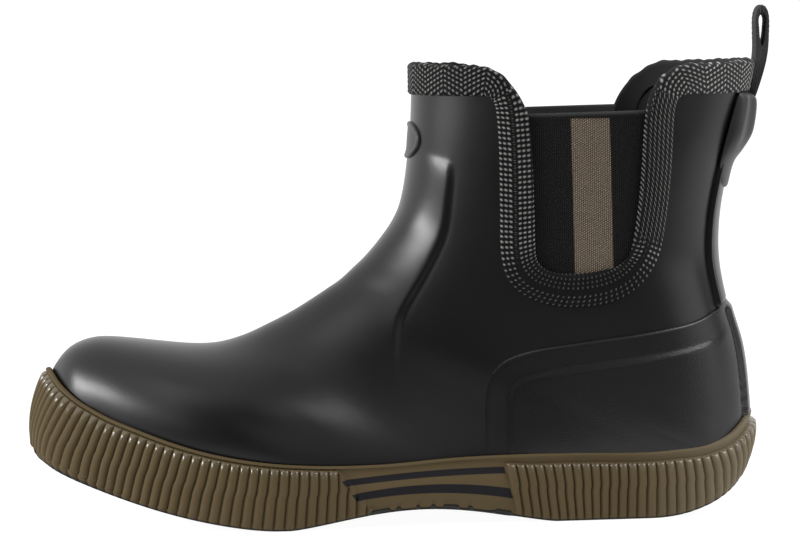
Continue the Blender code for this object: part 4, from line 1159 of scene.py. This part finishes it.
# Woven tape round the collar and both notches.
class Tape:
    """Places of the tape's cut edge and far edge, evenly spaced once round."""

    def __init__(self):
        edges, fars = [], []
        for side in (1.0, -1.0):
            lines = []
            edge, far = tape_lines(side)
            for line, low, rises in ((edge, COLLAR_ROW, TAPE_RISES), (far, TAPE_LOW_ROW, NO_RISES)):
                row, around = locate(line[:, 0], line[:, 1], side)
                front = np.linspace(0.0, around[0], TAPE_END_STEPS)[:-1]
                back = np.linspace(around[-1], side, TAPE_END_STEPS)[1:]
                falling = low + rises[0] * smooth_step(1.0, 0.0, np.linspace(0.0, 1.0, len(front)))
                rising = low + rises[1] * smooth_step(0.0, 1.0, np.linspace(0.0, 1.0, len(back)))
                rows = np.concatenate([falling, row, rising])
                lines.append(np.stack([rows, np.concatenate([front, around, back])], axis=1))
            edges.append(lines[0])
            fars.append(lines[1])
        self.edge, self.far = (np.vstack([a, (b + [0.0, 2.0])[-2::-1]]) for a, b in (edges, fars))
        run = run_along(LAST.at(*(0.5 * (self.edge + self.far)).T))
        self.length = run[-1]
        self.share = run / run[-1]
        even = np.linspace(0.0, 1.0, TAPE_COLUMNS + 1)
        lines = (self.sample(line, even) for line in (self.edge, self.far))
        self.edge, self.far = (self.soften(line, even) for line in lines)
        self.share = even

    def sample(self, line, share):
        """Places on one of the lines at shares of the way round."""
        return np.stack([np.interp(share, self.share, line[:, k]) for k in (0, 1)], axis=1)

    @staticmethod
    def soften(line, share):
        """Round the tape's line a little where its stretches meet."""
        turn = np.stack([np.zeros(len(share)), 2.0 * share], axis=1)
        loop = smooth_loop((line - turn)[:-1], TAPE_SOFTENING)
        return np.vstack([loop, loop[:1]]) + turn

    def profile(self):
        """Stations across the tape: share from far edge to cut edge, reach past it, offset, weave."""
        outer = np.linspace(0.0, 1.0, TAPE_OUTER_STEPS + 1)
        edge_lift = TAPE_OUT - TAPE_EDGE_DROP * (1.0 - smooth_step(0.0, TAPE_EDGE_SOFT, outer))
        stations = [(t, 0.0, lift, 1.0) for t, lift in zip(outer, edge_lift)]
        middle, half = 0.5 * (TAPE_OUT + TAPE_IN), 0.5 * (TAPE_OUT - TAPE_IN)
        for angle in np.linspace(0.0, np.pi, TAPE_CAP_STEPS + 1)[1:-1]:
            woven = float(np.cos(angle) > 0.0)
            stations.append((1.0, TAPE_CAP * np.sin(angle), middle + half * np.cos(angle), woven))
        inner = np.linspace(1.0, TAPE_INNER_END, TAPE_INNER_STEPS + 1)
        stations += [(t, 0.0, TAPE_IN, 0.0) for t in inner]
        over, under = TAPE_IN + TAPE_THICK, TAPE_OUT - TAPE_THICK
        stations += [(TAPE_INNER_END, 0.0, over, 0.0), (1.0, 0.0, over, 0.0), (1.0, 0.0, under, 0.0),
                     (TAPE_EDGE_SOFT, 0.0, under, 0.0), stations[0]]
        return np.array(stations)


def weave(along, across, turn, slant, shift, spine=None):
    """Height from 0 to 1 of a weave: columns of slanted strokes, with finer ones in the spine column."""
    column = across / WEAVE_COLUMN
    number = np.floor(column)
    within = column - number - 0.5
    fine = number == spine
    pitch = np.where(fine, WEAVE_FINE * WEAVE_PITCH, WEAVE_PITCH)
    phase = along / pitch + turn * (slant * within + shift * number)
    stroke = 0.5 + 0.5 * np.cos(2 * np.pi * phase)
    height = np.where(fine, WEAVE_SPINE_HEIGHT, 1.0)
    return stroke * np.cos(np.pi * within) ** WEAVE_FULLNESS * height


def make_tape(finish):
    """The tape, folded over the collar and the notches, with its weave raised on the outside."""
    tape = Tape()
    stations = tape.profile()

    def numbers(u, v):
        k = step_number(v, len(stations) - 1)
        edge, far = tape.sample(tape.edge, u), tape.sample(tape.far, u)
        width = np.linalg.norm(LAST.at(*edge.T) - LAST.at(*far.T), axis=1)
        return stations[k].T, edge, far, width

    def crown(u, v):
        (t, past, _, woven), _, far, width = numbers(u, v)
        along, across = u * round(tape.length / WEAVE_PITCH) * WEAVE_PITCH, t * width + past
        turn = np.where(across > WEAVE_SPINE * WEAVE_COLUMN, 1.0, -1.0)
        leg = weave(along, across, turn, WEAVE_SLANT[0], WEAVE_SHIFT[0], WEAVE_SPINE)
        x, _, z = LAST.at(*far.T).T
        turn = np.where(far[:, 1] > 1.0, 1.0, -1.0)
        rear = WEAVE_REAR_DIM * weave(along, across, turn, *WEAVE_REAR)
        leg = leg + (rear - leg) * smooth_step(*WEAVE_REAR_Z, z) * (x < WEAVE_REAR_X)
        turn = np.where(along // WEAVE_BAND % 2 > 0, 1.0, -1.0)
        collar = WEAVE_COLLAR_DIM * weave(across, along, turn, WEAVE_SLANT[1], WEAVE_SHIFT[1])
        # Lower weave and painted shade: the strokes flatten and their painted highlight fades towards the
        # bottom of the notch.
        bright = WEAVE_LOWERED_AND_SHADED + (1.0 - WEAVE_LOWERED_AND_SHADED) * smooth_step(*WEAVE_SHADED_Z, z)
        return woven * bright * np.where(far[:, 0] > WEAVE_COLLAR_ROW, collar, leg)

    def place(u, v):
        (t, past, lift, _), edge, far, width = numbers(u, v)
        along = u * tape.length
        ragged = TAPE_RAGGED * sum(np.sin(along / pitch) for pitch in TAPE_RAGGED_PITCHES)
        ragged = 1.0 + ragged * (far[:, 0] > WEAVE_COLLAR_ROW)
        at = far + (edge - far) * (t + past * ragged / width)[:, None]
        sign = np.where(lift < TAPE_OUT - TAPE_THICK, -1.0, 1.0)
        return LAST.at(at[:, 0], at[:, 1], lift + sign * WEAVE_HEIGHT * crown(u, v))

    body = shaped_grid("collar_tape", TAPE_COLUMNS, len(stations) - 1, place, crown=crown)
    merge(body)
    finish_piece(body, finish, "black_webbing", "collar_binding", crease=WEAVE_CREASE)


# Elastic side panels.
def make_elastic(name, side, level, finish, node):
    """One side panel, its top edge rolled over into a hem."""
    middle = 0.5 * (GORE_BOTTOM[0][0] + GORE_BOTTOM[-1][0])

    def place(u, v):
        x = GORE_BOTTOM[0][0] + u * (GORE_BOTTOM[-1][0] - GORE_BOTTOM[0][0])
        rise = np.clip(v / GORE_FACE, 0.0, 1.0)
        turn = np.clip((v - GORE_FACE) / GORE_ROLL, 0.0, 1.0) * np.pi
        back = np.clip((v - GORE_FACE - GORE_ROLL) / (1.0 - GORE_FACE - GORE_ROLL), 0.0, 1.0)
        top = level - GORE_TILT * (x - middle)
        hem = top + GORE_RADIUS * np.sin(turn) - GORE_HEM * back
        z = np.where(v <= GORE_FACE, smooth_table(GORE_BOTTOM, x) * (1 - rise) + top * rise, hem)
        offset = GORE_OFFSET - GORE_RADIUS * (1.0 - np.cos(turn))
        offset = offset + GORE_HEM_BULGE * ridge(z - top, -GORE_HEM_AT, GORE_HEM_SOFT) * (turn == 0)
        row, around = locate(x, z, side)
        return LAST.at(row, around, offset)

    # Painted highlight: 1 along the hem's roll, which is coloured lighter.
    def hem(u, v):
        return smooth_step(GORE_FACE - GORE_HEM_HIGHLIGHT_SPAN, GORE_FACE, v)

    panel = shaped_grid(name, GORE_COLUMNS, GORE_ROWS, place, hem=hem)
    if side < 0:
        turn_over(panel)
    thicken(panel, GORE_THICK)
    finish_piece(panel, finish, "black_elastic", node)


# Heel counter: raised sheet with a step inside its edge and a spine down the back.
def counter_span(row):
    """Where a section enters the heel counter and where it leaves it, as places around."""
    share, place, *_ = section_side(round(float(row), ROW_DIGITS))
    reach, _ = distance_to_line(COUNTER_LINE, place[:, 0], place[:, 1])
    low = place[:, 1] - counter_foot(place[:, 0])

    def crossing(values, after):
        return share[after - 1] + ((share[after] - share[after - 1]) * values[after - 1]
                                   / (values[after - 1] - values[after]))

    start = crossing(reach, int(np.argmax(reach > 0))) if (reach > 0).any() else 1.0
    end = crossing(low, int(np.argmax(low < 0))) if (low < 0).any() else 1.0
    return start, max(end, start)


def counter_foot(x):
    """Height of the counter's lower edge, down on the sole's lip."""
    return rim_height(x) - COUNTER_TUCK


def make_counter(finish):
    """The counter; its rows run along the sections, open underneath and closed behind the heel."""
    back = closing_row(counter_foot)
    first, last = COUNTER_ROWS
    below = np.linspace(1.0, 0.0, COUNTER_STEPS[0] + 1) ** COUNTER_ROW_CROWDING
    below = back - (back - first) * below
    rows = np.append(below, np.linspace(back, last, COUNTER_STEPS[1] + 1)[1:])
    spans = np.array([counter_span(row) if row < back else (counter_span(row)[0], 1.0) for row in rows])
    half = COUNTER_HALF_COLUMNS
    columns = 2 * half + 1

    def place(u, v):
        i = step_number(v, len(rows) - 1)
        j = step_number(u, columns)
        side = np.where(j <= half, -1.0, 1.0)
        t = np.where(j <= half, half - j, j - half - 1) / half
        t = 1.0 - (1.0 - t) ** COUNTER_CROWDING
        start, end = spans[i].T
        around = side * (end + (start - end) * t)
        bare = LAST.at(rows[i], around)
        gap, _ = distance_to_line(COUNTER_LINE, bare[:, 0], bare[:, 2])
        gap = np.abs(gap)
        bold = COUNTER_FAINT + (1.0 - COUNTER_FAINT) * smooth_step(*COUNTER_FAINT_X, bare[:, 0])
        ramp = COUNTER_ROUND * (1.0 + COUNTER_SPREAD * (1.0 - bold))
        rise = COUNTER_SUNK + bold * (COUNTER_LIFT - COUNTER_SUNK)
        lift = rise * rounded(gap, ramp) - COUNTER_SUNK
        stepped = smooth_step(*COUNTER_STEP_AT, gap) * smooth_step(*COUNTER_STEP_X, bare[:, 0])
        lift = lift + bold * COUNTER_STEP * stepped
        aside = np.abs(bare[:, 1])
        groove = ridge(aside, SPINE_HALF + SPINE_GROOVE_SOFT, SPINE_GROOVE_SOFT)
        spine = SPINE_RISE * smooth_step(SPINE_HALF + SPINE_SOFT, SPINE_HALF - SPINE_SOFT, aside)
        spine = spine - SPINE_GROOVE * groove
        lift = lift + spine * smooth_step(*SPINE_X, bare[:, 0]) * smooth_step(*SPINE_START, gap)
        return LAST.at(rows[i], around, lift)

    counter = shaped_grid("heel_counter_skin", columns, len(rows) - 1, place)
    closed_from = int(np.searchsorted(rows, back - TINY))
    faces = np.arange(columns * (len(rows) - 1))
    doomed = (faces % columns == half) & (faces // columns < closed_from)
    delete_faces(counter, doomed)
    merge(counter)
    turn_over(counter)
    thicken(counter, COUNTER_THICK)
    finish_piece(counter, finish, "black_rubber", "heel_counter", crease=RUBBER_CREASE)


# Strip over the back seam, the tab on it and the pull loop.
def back_row(z):
    """The row whose back point has a height."""
    return np.interp(z, ROWS[int(HEEL_ROW):, 1], np.arange(int(HEEL_ROW), len(SECTIONS)))


def back_places(row, across):
    """Places around at distances across the back seam."""
    length = np.interp(row, STRIP_ROW_TABLE, [section_side(float(r))[5] for r in STRIP_ROW_TABLE])
    return 1.0 + across / length


def make_strip(finish):
    """The strip; its foot sinks under the counter."""
    first, last = STRAP_ROWS

    def place(u, v):
        row = first + (last - first) * v
        width = STRAP_HALF[0] + (STRAP_HALF[1] - STRAP_HALF[0]) * v
        across = (2.0 * u - 1.0) * width
        inset = width - np.abs(across)
        lift = STRAP_LIFT * rounded(inset, STRAP_ROUND) - STRAP_SUNK
        lift = lift + STRAP_BEAD * ridge(inset, STRAP_BEAD_AT, STRAP_BEAD_SOFT)
        lift = lift - STRAP_GROOVE * ridge(inset, STRAP_GROOVE_AT, STRAP_GROOVE_SOFT)
        around = back_places(row, across)
        bare = LAST.at(row, around)
        reach, _ = distance_to_line(COUNTER_LINE, bare[:, 0], bare[:, 2])
        lift = lift - (lift + STRAP_SUNK) * smooth_step(*STRAP_COVERED, reach)
        return LAST.at(row, around, lift)

    strip = shaped_grid("back_strip", STRAP_COLUMNS, STRAP_STEPS, place)
    thicken(strip, STRAP_THICK)
    finish_piece(strip, finish, "black_rubber", "back_strap", crease=RUBBER_CREASE)


def make_tab(finish):
    """The padded tab, with soft upright folds in its upper half."""
    table = smooth_rows(TAB, TAB_TABLE_STEPS)[::-1]
    heights = np.linspace(0.0, 1.0, len(table))

    def place(u, v):
        line = {name: np.interp(v, heights, column) for name, column in zip(TAB_COLUMNS, table.T)}
        share = 2.0 * u - 1.0
        ends = rounded(v, TAB_END) * rounded(1.0 - v, TAB_END)
        folds = np.cos((np.abs(share) - TAB_FOLD_AT) * 2.0 * np.pi / TAB_FOLD_PITCH)
        folds = TAB_FOLD * folds * smooth_step(*TAB_FOLD_Z, line["z"])
        row = back_row(line["z"])
        lift = TAB_BASE + (line["thick"] + folds) * crowned(share, TAB_FULLNESS) * ends
        return LAST.at(row, back_places(row, share * line["half_width"]), lift)

    tab = shaped_grid("heel_tab_pad", TAB_ACROSS, TAB_STEPS, place)
    thicken(tab, TAB_WALL)
    finish_piece(tab, finish, "black_rubber", "heel_tab", crease=RUBBER_CREASE)


def make_loop(finish):
    """The loop: a woven band with a narrow slot, leaning with the back of the shaft."""
    table = smooth_rows(LOOP + LOOP[:1], LOOP_SMOOTHING)
    run = run_along(table[:, :2])
    across = np.linspace(-1.0, 1.0, LOOP_ACROSS + 1)
    ring = np.array([(t, 0.0) for t in across] + [(-t, 1.0) for t in across] + [(-1.0, 0.0)])

    def numbers(u, v):
        k = step_number(v, len(ring) - 1)
        line = np.stack([np.interp(u * run[-1], run, column) for column in table.T], axis=1)
        return ring[k].T, line

    def crown(u, v):
        (across, _), _ = numbers(u, v)
        count = round(run[-1] / WEAVE_PITCH)
        side = np.where(across > 0.0, 1.0, -1.0)
        strokes = weave(u * count * WEAVE_PITCH, (across + 1.0) * LOOP_HALF_WIDTH, side, *LOOP_STROKES)
        return LOOP_DIM * strokes

    def place(u, v):
        (across, depth), line = numbers(u, v)
        outer, slot = line[:, :2], line[:, 2:]
        wall = slot - outer
        wall = wall / np.maximum(np.linalg.norm(wall, axis=1, keepdims=True), TINY)
        edge = crowned(across, LOOP_EDGE)
        skin = outer + (slot - outer) * depth[:, None]
        sink = (1.0 - edge) * LOOP_ROUND - LOOP_WEAVE * edge * crown(u, v) / LOOP_DIM
        skin = skin + wall * np.where(depth > 0, -sink, sink)[:, None]
        y = across * LOOP_HALF_WIDTH
        return np.stack([skin[:, 0] + LOOP_TURN * y, y, skin[:, 1]], axis=1)

    loop = shaped_grid("heel_loop", LOOP_STEPS, len(ring) - 1, place, crown=crown)
    merge(loop)
    finish_piece(loop, finish, "black_webbing", "pull_loop", crease=WEAVE_CREASE)


# Plain oval disc on the front of the shaft.
def make_button(finish):
    """The disc, laid on the instep panel."""
    rise = section_values(BUTTON_ROW + 0.5)["front_z"] - section_values(BUTTON_ROW - 0.5)["front_z"]
    length = section_side(BUTTON_ROW)[5]
    rings = smooth_rows(BUTTON_RINGS, BUTTON_RING_STEPS)

    def place(u, v):
        k = step_number(v, len(rings) - 1)
        size, lift = rings[k].T
        angle = 2.0 * np.pi * u
        row = BUTTON_ROW + size * BUTTON_HALF[1] * np.sin(angle) / rise
        around = size * BUTTON_HALF[0] * np.cos(angle) / length
        return LAST.at(row, around, lift + instep_relief(LAST.at(row, around)))

    button = shaped_grid("front_disc", BUTTON_SEGMENTS, len(rings) - 1, place)
    merge(button)
    finish_piece(button, finish, "black_rubber", "front_button", crease=RUBBER_CREASE)


# Felt footbed.
def make_footbed(finish):
    """The footbed, with a rounded edge all round."""
    edge = even_loop(contour(None, 0.0), 2 * INSOLE_STEPS)
    normals = plan_normals(edge)

    def place(u, v):
        k = step_number(u, INSOLE_STEPS)
        inset = edge.copy()
        inset[:, :2] -= normals * INSOLE_INSET
        left, right = inset[k], inset[(2 * INSOLE_STEPS - k) % (2 * INSOLE_STEPS)]
        points = right + (left - right) * v[:, None]
        edge_round = rounded(np.minimum(v, 1.0 - v), INSOLE_EDGE)
        points[:, 2] += INSOLE_THICK - INSOLE_ROUND * (1.0 - edge_round)
        return points

    footbed = shaped_grid("footbed", INSOLE_STEPS, INSOLE_ACROSS, place)
    merge(footbed)
    thicken(footbed, INSOLE_WALL)
    finish_piece(footbed, finish, "grey_felt", "insole", crease=RUBBER_CREASE)


# Finishes. The Mix node's colour sockets share their names with others, so they go by number.
MIX_COLOURS = (6, 7)
MIX_RESULT = 2


class Value:
    """A socket of a finish; arithmetic on it adds Math nodes."""

    def __init__(self, finish, socket):
        self.finish = finish
        self.socket = socket

    def math(self, operation, *values):
        sockets = dict(enumerate(values))
        return self.finish.node("ShaderNodeMath", {"operation": operation}, sockets)

    def __add__(self, other):
        return self.math("ADD", self, other)

    def __radd__(self, other):
        return self.math("ADD", other, self)

    def __sub__(self, other):
        return self.math("SUBTRACT", self, other)

    def __rsub__(self, other):
        return self.math("SUBTRACT", other, self)

    def __mul__(self, other):
        return self.math("MULTIPLY", self, other)

    def __rmul__(self, other):
        return self.math("MULTIPLY", other, self)

    def __truediv__(self, other):
        return self.math("DIVIDE", self, other)

    def __rtruediv__(self, other):
        return self.math("DIVIDE", other, self)

    def __abs__(self):
        return self.math("ABSOLUTE", self)

    def most(self, other):
        return self.math("MAXIMUM", self, other)

    def wave(self):
        """From 0 to 1 and back over each whole number."""
        return 0.5 - 0.5 * self.math("COSINE", self * (2.0 * np.pi))

    def soft_step(self, low, high):
        """From 0 at low to 1 at high, either way round."""
        settings = {"interpolation_type": "SMOOTHSTEP"}
        return self.finish.node("ShaderNodeMapRange", settings,
                                {"Value": self, "From Min": low, "From Max": high})


class Nodes:
    """Tools that add nodes to a tree, each by the node method."""

    def __init__(self, tree):
        self.tree = tree

    def node(self, kind, settings, sockets, output=0):
        """Add a node: its settings are set first, then its sockets get values or links."""
        node = self.tree.nodes.new(kind)
        for name, setting in settings.items():
            setattr(node, name, setting)
        for name, value in sockets.items():
            self.put(node.inputs[name], value)
        return Value(self, node.outputs[output])

    def put(self, socket, value):
        if isinstance(value, Value):
            self.tree.links.new(value.socket, socket)
        elif hasattr(value, "__len__") and len(value) == 3 and socket.type == "RGBA":
            socket.default_value = (*value, 1.0)
        else:
            socket.default_value = value

    def place(self):
        return self.node("ShaderNodeTexCoord", {}, {}, "Object")

    def axes(self, vector):
        """The three parts of a vector."""
        split = self.node("ShaderNodeSeparateXYZ", {}, {"Vector": vector}).socket.node
        return [Value(self, output) for output in split.outputs]

    def mark(self, name):
        return self.node("ShaderNodeAttribute", {"attribute_name": name}, {}, "Fac")

    def noise(self, scale, detail, roughness):
        sockets = {"Vector": self.place(), "Scale": scale, "Detail": detail, "Roughness": roughness}
        return self.node("ShaderNodeTexNoise", {}, sockets, "Fac")

    def blend(self, share, first, second):
        sockets = {"Factor": share, MIX_COLOURS[0]: first, MIX_COLOURS[1]: second}
        return self.node("ShaderNodeMix", {"data_type": "RGBA"}, sockets, MIX_RESULT)

    def bump(self, height, distance):
        return self.node("ShaderNodeBump", {}, {"Height": height, "Distance": distance * MM}, "Normal")


class Finish(Nodes):
    """A material with its one shader."""

    def __init__(self, name, shine):
        self.material = bpy.data.materials.new(name)
        self.material.use_nodes = True
        super().__init__(self.material.node_tree)
        self.shader = self.tree.nodes["Principled BSDF"]
        self.shader.inputs["Specular IOR Level"].default_value = shine

    def feed(self, **sockets):
        """Values or links for the shader's sockets, by their names in small letters."""
        for name, value in sockets.items():
            self.put(self.shader.inputs[name.replace("_", " ").title()], value)


def black_rubber(name, bump, grain, tone, dullness):
    """Satin black rubber with a fine moulded grain and faint handling marks."""
    finish = Finish(name, RUBBER_SHINE)
    cloud = finish.noise(*RUBBER_CLOUD)
    grit = finish.noise(grain, *RUBBER_GRIT)
    tones = [(share * tone,) * 3 for share in RUBBER_TONES]
    uneven = RUBBER_CLOUD_DULL * (cloud - 0.5) + RUBBER_GRIT_DULL * (grit - 0.5)
    finish.feed(base_color=finish.blend(cloud, *tones), roughness=dullness + uneven,
                normal=finish.bump(grit, bump))
    return finish.material


def brown_rubber():
    """Matte brown sole rubber with two dark stripes along the plain midfoot panel; darker along its lower
    edge and underside, with painted light that makes the heel paler.
    """
    finish = Finish("sole_rubber", SOLE_SHINE)
    finish.shader.inputs["Coat Roughness"].default_value = SOLE_TIP_DULL
    cloud = finish.noise(*SOLE_CLOUD)
    grit = finish.noise(*SOLE_GRIT)
    x, _, z = (axis / MM for axis in finish.axes(finish.place()))
    # Painted light: the brown turns paler towards the heel, standing in for light thrown up onto it.
    brown = finish.blend(x.soft_step(*SOLE_PAINTED_LIGHT_X), finish.blend(cloud, *SOLE_BROWN), SOLE_PAINTED_HEEL_LIGHT)
    dark = 0.0
    for values in STRIPES:
        stripe = dict(zip(STRIPE_COLUMNS, values))
        middle = stripe["middle"] + x * (stripe["slope"] + stripe["bend"] * x)
        reach = stripe["half"] + stripe["narrowing"] * x - abs(z - middle)
        dark = dark + reach.soft_step(-STRIPE_SOFT, STRIPE_SOFT)
    ahead = STRIPE_FRONT[0] + STRIPE_FRONT[1] * z - x
    behind = x - STRIPE_BACK[0] - STRIPE_BACK[1] * z
    for reach in (ahead, behind):
        dark = dark * reach.soft_step(-STRIPE_SOFT, STRIPE_SOFT)
    wall = finish.blend(dark, brown, SOLE_STRIPE)
    # The lower part of the edge and the whole underside are coloured darker.
    finish.feed(base_color=finish.blend(finish.mark("tread"), wall, SOLE_DARK_BOTTOM),
                roughness=SOLE_DULL + SOLE_GRIT_DULL * grit, coat_weight=finish.mark("tips"),
                normal=finish.bump(grit, SOLE_BUMP))
    return finish.material


def woven_tape():
    """Black webbing whose raised strokes carry a painted highlight, with painted light towards the rear of
    the collar.
    """
    finish = Finish("woven_tape", TAPE_SHINE)
    crown = finish.mark("crown")
    fibre = finish.noise(*TAPE_FIBRE)
    x = finish.axes(finish.place())[0] / MM
    # Painted light: the colours turn lighter towards the rear of the collar.
    rear = x.soft_step(*TAPE_PAINTED_LIGHT_X)
    # Painted highlight: the raised crowns of the strokes are coloured pale.
    shade = crown * (TAPE_SHADE + TAPE_FIBRE_SHADE * fibre)
    ground_and_painted_light, painted_highlight = (finish.blend(rear, *tones) for tones in (TAPE_GROUND_AND_PAINTED_LIGHT, TAPE_PAINTED_HIGHLIGHT))
    finish.feed(base_color=finish.blend(shade.soft_step(*TAPE_CONTRAST), ground_and_painted_light, painted_highlight),
                roughness=TAPE_DULL - TAPE_CROWN_GLOSS * crown, normal=finish.bump(fibre, TAPE_BUMP))
    return finish.material


def elastic_knit():
    """Fine black knit with a brown stripe down its middle, and a painted highlight on the hem."""
    finish = Finish("elastic_knit", KNIT_SHINE)
    x, _, z = (axis / MM for axis in finish.axes(finish.place()))
    wales = x / WALE_PITCH
    courses = z / COURSE_PITCH + 0.5 * wales
    knit = wales.wave() * courses.wave()
    middle = GORE_STRIPE[0] + GORE_STRIPE[2] * (z - GORE_STRIPE[1])
    stripe = 1.0
    for reach in (GORE_STRIPE_HALF - abs(x - middle), GORE_STRIPE_TOP - z):
        stripe = stripe * reach.soft_step(-GORE_STRIPE_SOFT, GORE_STRIPE_SOFT)
    black, brown = (finish.blend(knit, *tones) for tones in (KNIT_BLACK, KNIT_BROWN))
    cloth = finish.blend(stripe, black, brown)
    # Painted highlight: the hem is coloured lighter.
    finish.feed(base_color=finish.blend(finish.mark("hem"), cloth, KNIT_PAINTED_HEM_HIGHLIGHT),
                roughness=KNIT_DULL - KNIT_GLOSS * knit, normal=finish.bump(knit, KNIT_BUMP))
    return finish.material


def grey_felt():
    """Dark felted knit."""
    finish = Finish("grey_felt", FELT_SHINE)
    fuzz = finish.noise(*FELT_FUZZ)
    finish.feed(base_color=finish.blend(fuzz, *FELT_GREY), roughness=FELT_DULL + FELT_FUZZ_DULL * fuzz,
                normal=finish.bump(fuzz, FELT_BUMP))
    return finish.material


# Studio.
def make_camera():
    """The camera on the boot's outer side, a little above the floor."""
    turn, above, roll = np.radians((CAMERA_ROUND, CAMERA_ABOVE, CAMERA_ROLL))
    back = Vector((np.sin(turn) * np.cos(above), np.cos(turn) * np.cos(above), np.sin(above)))
    right = Vector((0.0, 0.0, 1.0)).cross(back).normalized()
    up = back.cross(right)
    tilted = right * np.cos(roll) + up * np.sin(roll)
    up = up * np.cos(roll) - right * np.sin(roll)
    camera = bpy.data.objects.new("camera", bpy.data.cameras.new("camera"))
    bpy.context.scene.collection.objects.link(camera)
    turned = Matrix((tilted, up, back)).transposed().to_4x4()
    camera.matrix_world = Matrix.Translation(Vector(CAMERA_TARGET) + back * CAMERA_DISTANCE) @ turned
    camera.data.lens = CAMERA_LENS
    camera.data.sensor_width = CAMERA_SENSOR
    camera.data.clip_end = CAMERA_REACH
    bpy.context.scene.camera = camera


def soft_light(light):
    """A rectangular softbox at a direction and distance from the boot, facing it."""
    turn, above = np.radians((light["turn"], light["above"]))
    way = Vector((np.cos(turn) * np.cos(above), np.sin(turn) * np.cos(above), np.sin(above)))
    lamp = bpy.data.lights.new(light["name"], "AREA")
    lamp.shape = "RECTANGLE"
    lamp.size, lamp.size_y = light["width"], light["height"]
    lamp.energy = light["glow"] * np.pi * light["width"] * light["height"]
    box = bpy.data.objects.new(light["name"], lamp)
    bpy.context.scene.collection.objects.link(box)
    box.location = Vector(LIGHT_TARGET) + way * light["distance"]
    box.rotation_euler = way.to_track_quat("Z", "Y").to_euler()


def make_studio():
    """A dim room, bright behind the boot and above it, with a pale floor and softboxes."""
    world = bpy.data.worlds.new("studio")
    bpy.context.scene.world = world
    world.use_nodes = True
    sky = world.node_tree.nodes["Background"]
    room = Nodes(world.node_tree)
    way = room.node("ShaderNodeTexCoord", {}, {}, "Generated")
    _, y, _ = room.axes(way)
    above = room.node("ShaderNodeVectorMath", {"operation": "DOT_PRODUCT"}, {0: way, 1: TOP_AXIS}, "Value")
    bright = y.soft_step(*BACK_FADE).most(above.soft_step(*TOP_FADE))
    sky.inputs["Color"].default_value = (1.0, 1.0, 1.0, 1.0)
    room.put(sky.inputs["Strength"], ROOM_GLOW + BACK_GLOW * bright)
    bpy.ops.object.select_all(action="DESELECT")
    bpy.ops.mesh.primitive_plane_add(size=FLOOR_SIZE, location=(0.0, 0.0, 0.0))
    floor = bpy.context.object
    floor.name = "floor"
    paint = Finish("floor_paint", FLOOR_SHINE)
    paint.shader.inputs["Emission Strength"].default_value = 1.0
    front = paint.axes(paint.place())[1].soft_step(*FLOOR_FRONT)
    tones, glows = ([(tone,) * 3 for tone in pair] for pair in (FLOOR_TONES, FLOOR_GLOWS))
    paint.feed(base_color=paint.blend(front, *tones), emission_color=paint.blend(front, *glows),
               roughness=FLOOR_DULL)
    floor.data.materials.append(paint.material)
    for values in LIGHTS:
        soft_light(dict(zip(LIGHT_COLUMNS, values)))
    bpy.context.scene.view_settings.view_transform = "Standard"


make_camera()
make_studio()
skin_rubber = black_rubber(*SKIN_RUBBER)
tab_rubber = black_rubber(*TAB_RUBBER)
felt = grey_felt()
webbing = woven_tape()
knit = elastic_knit()
make_sole(brown_rubber())
make_upper(skin_rubber)
make_lining(felt)
make_tape(webbing)
make_elastic("elastic_outer", 1.0, GORE_TOPS[0], knit, "gore_lateral")
make_elastic("elastic_inner", -1.0, GORE_TOPS[1], knit, "gore_medial")
make_counter(black_rubber(*HEEL_RUBBER))
make_strip(skin_rubber)
make_tab(tab_rubber)
make_loop(webbing)
make_button(tab_rubber)
make_footbed(felt)
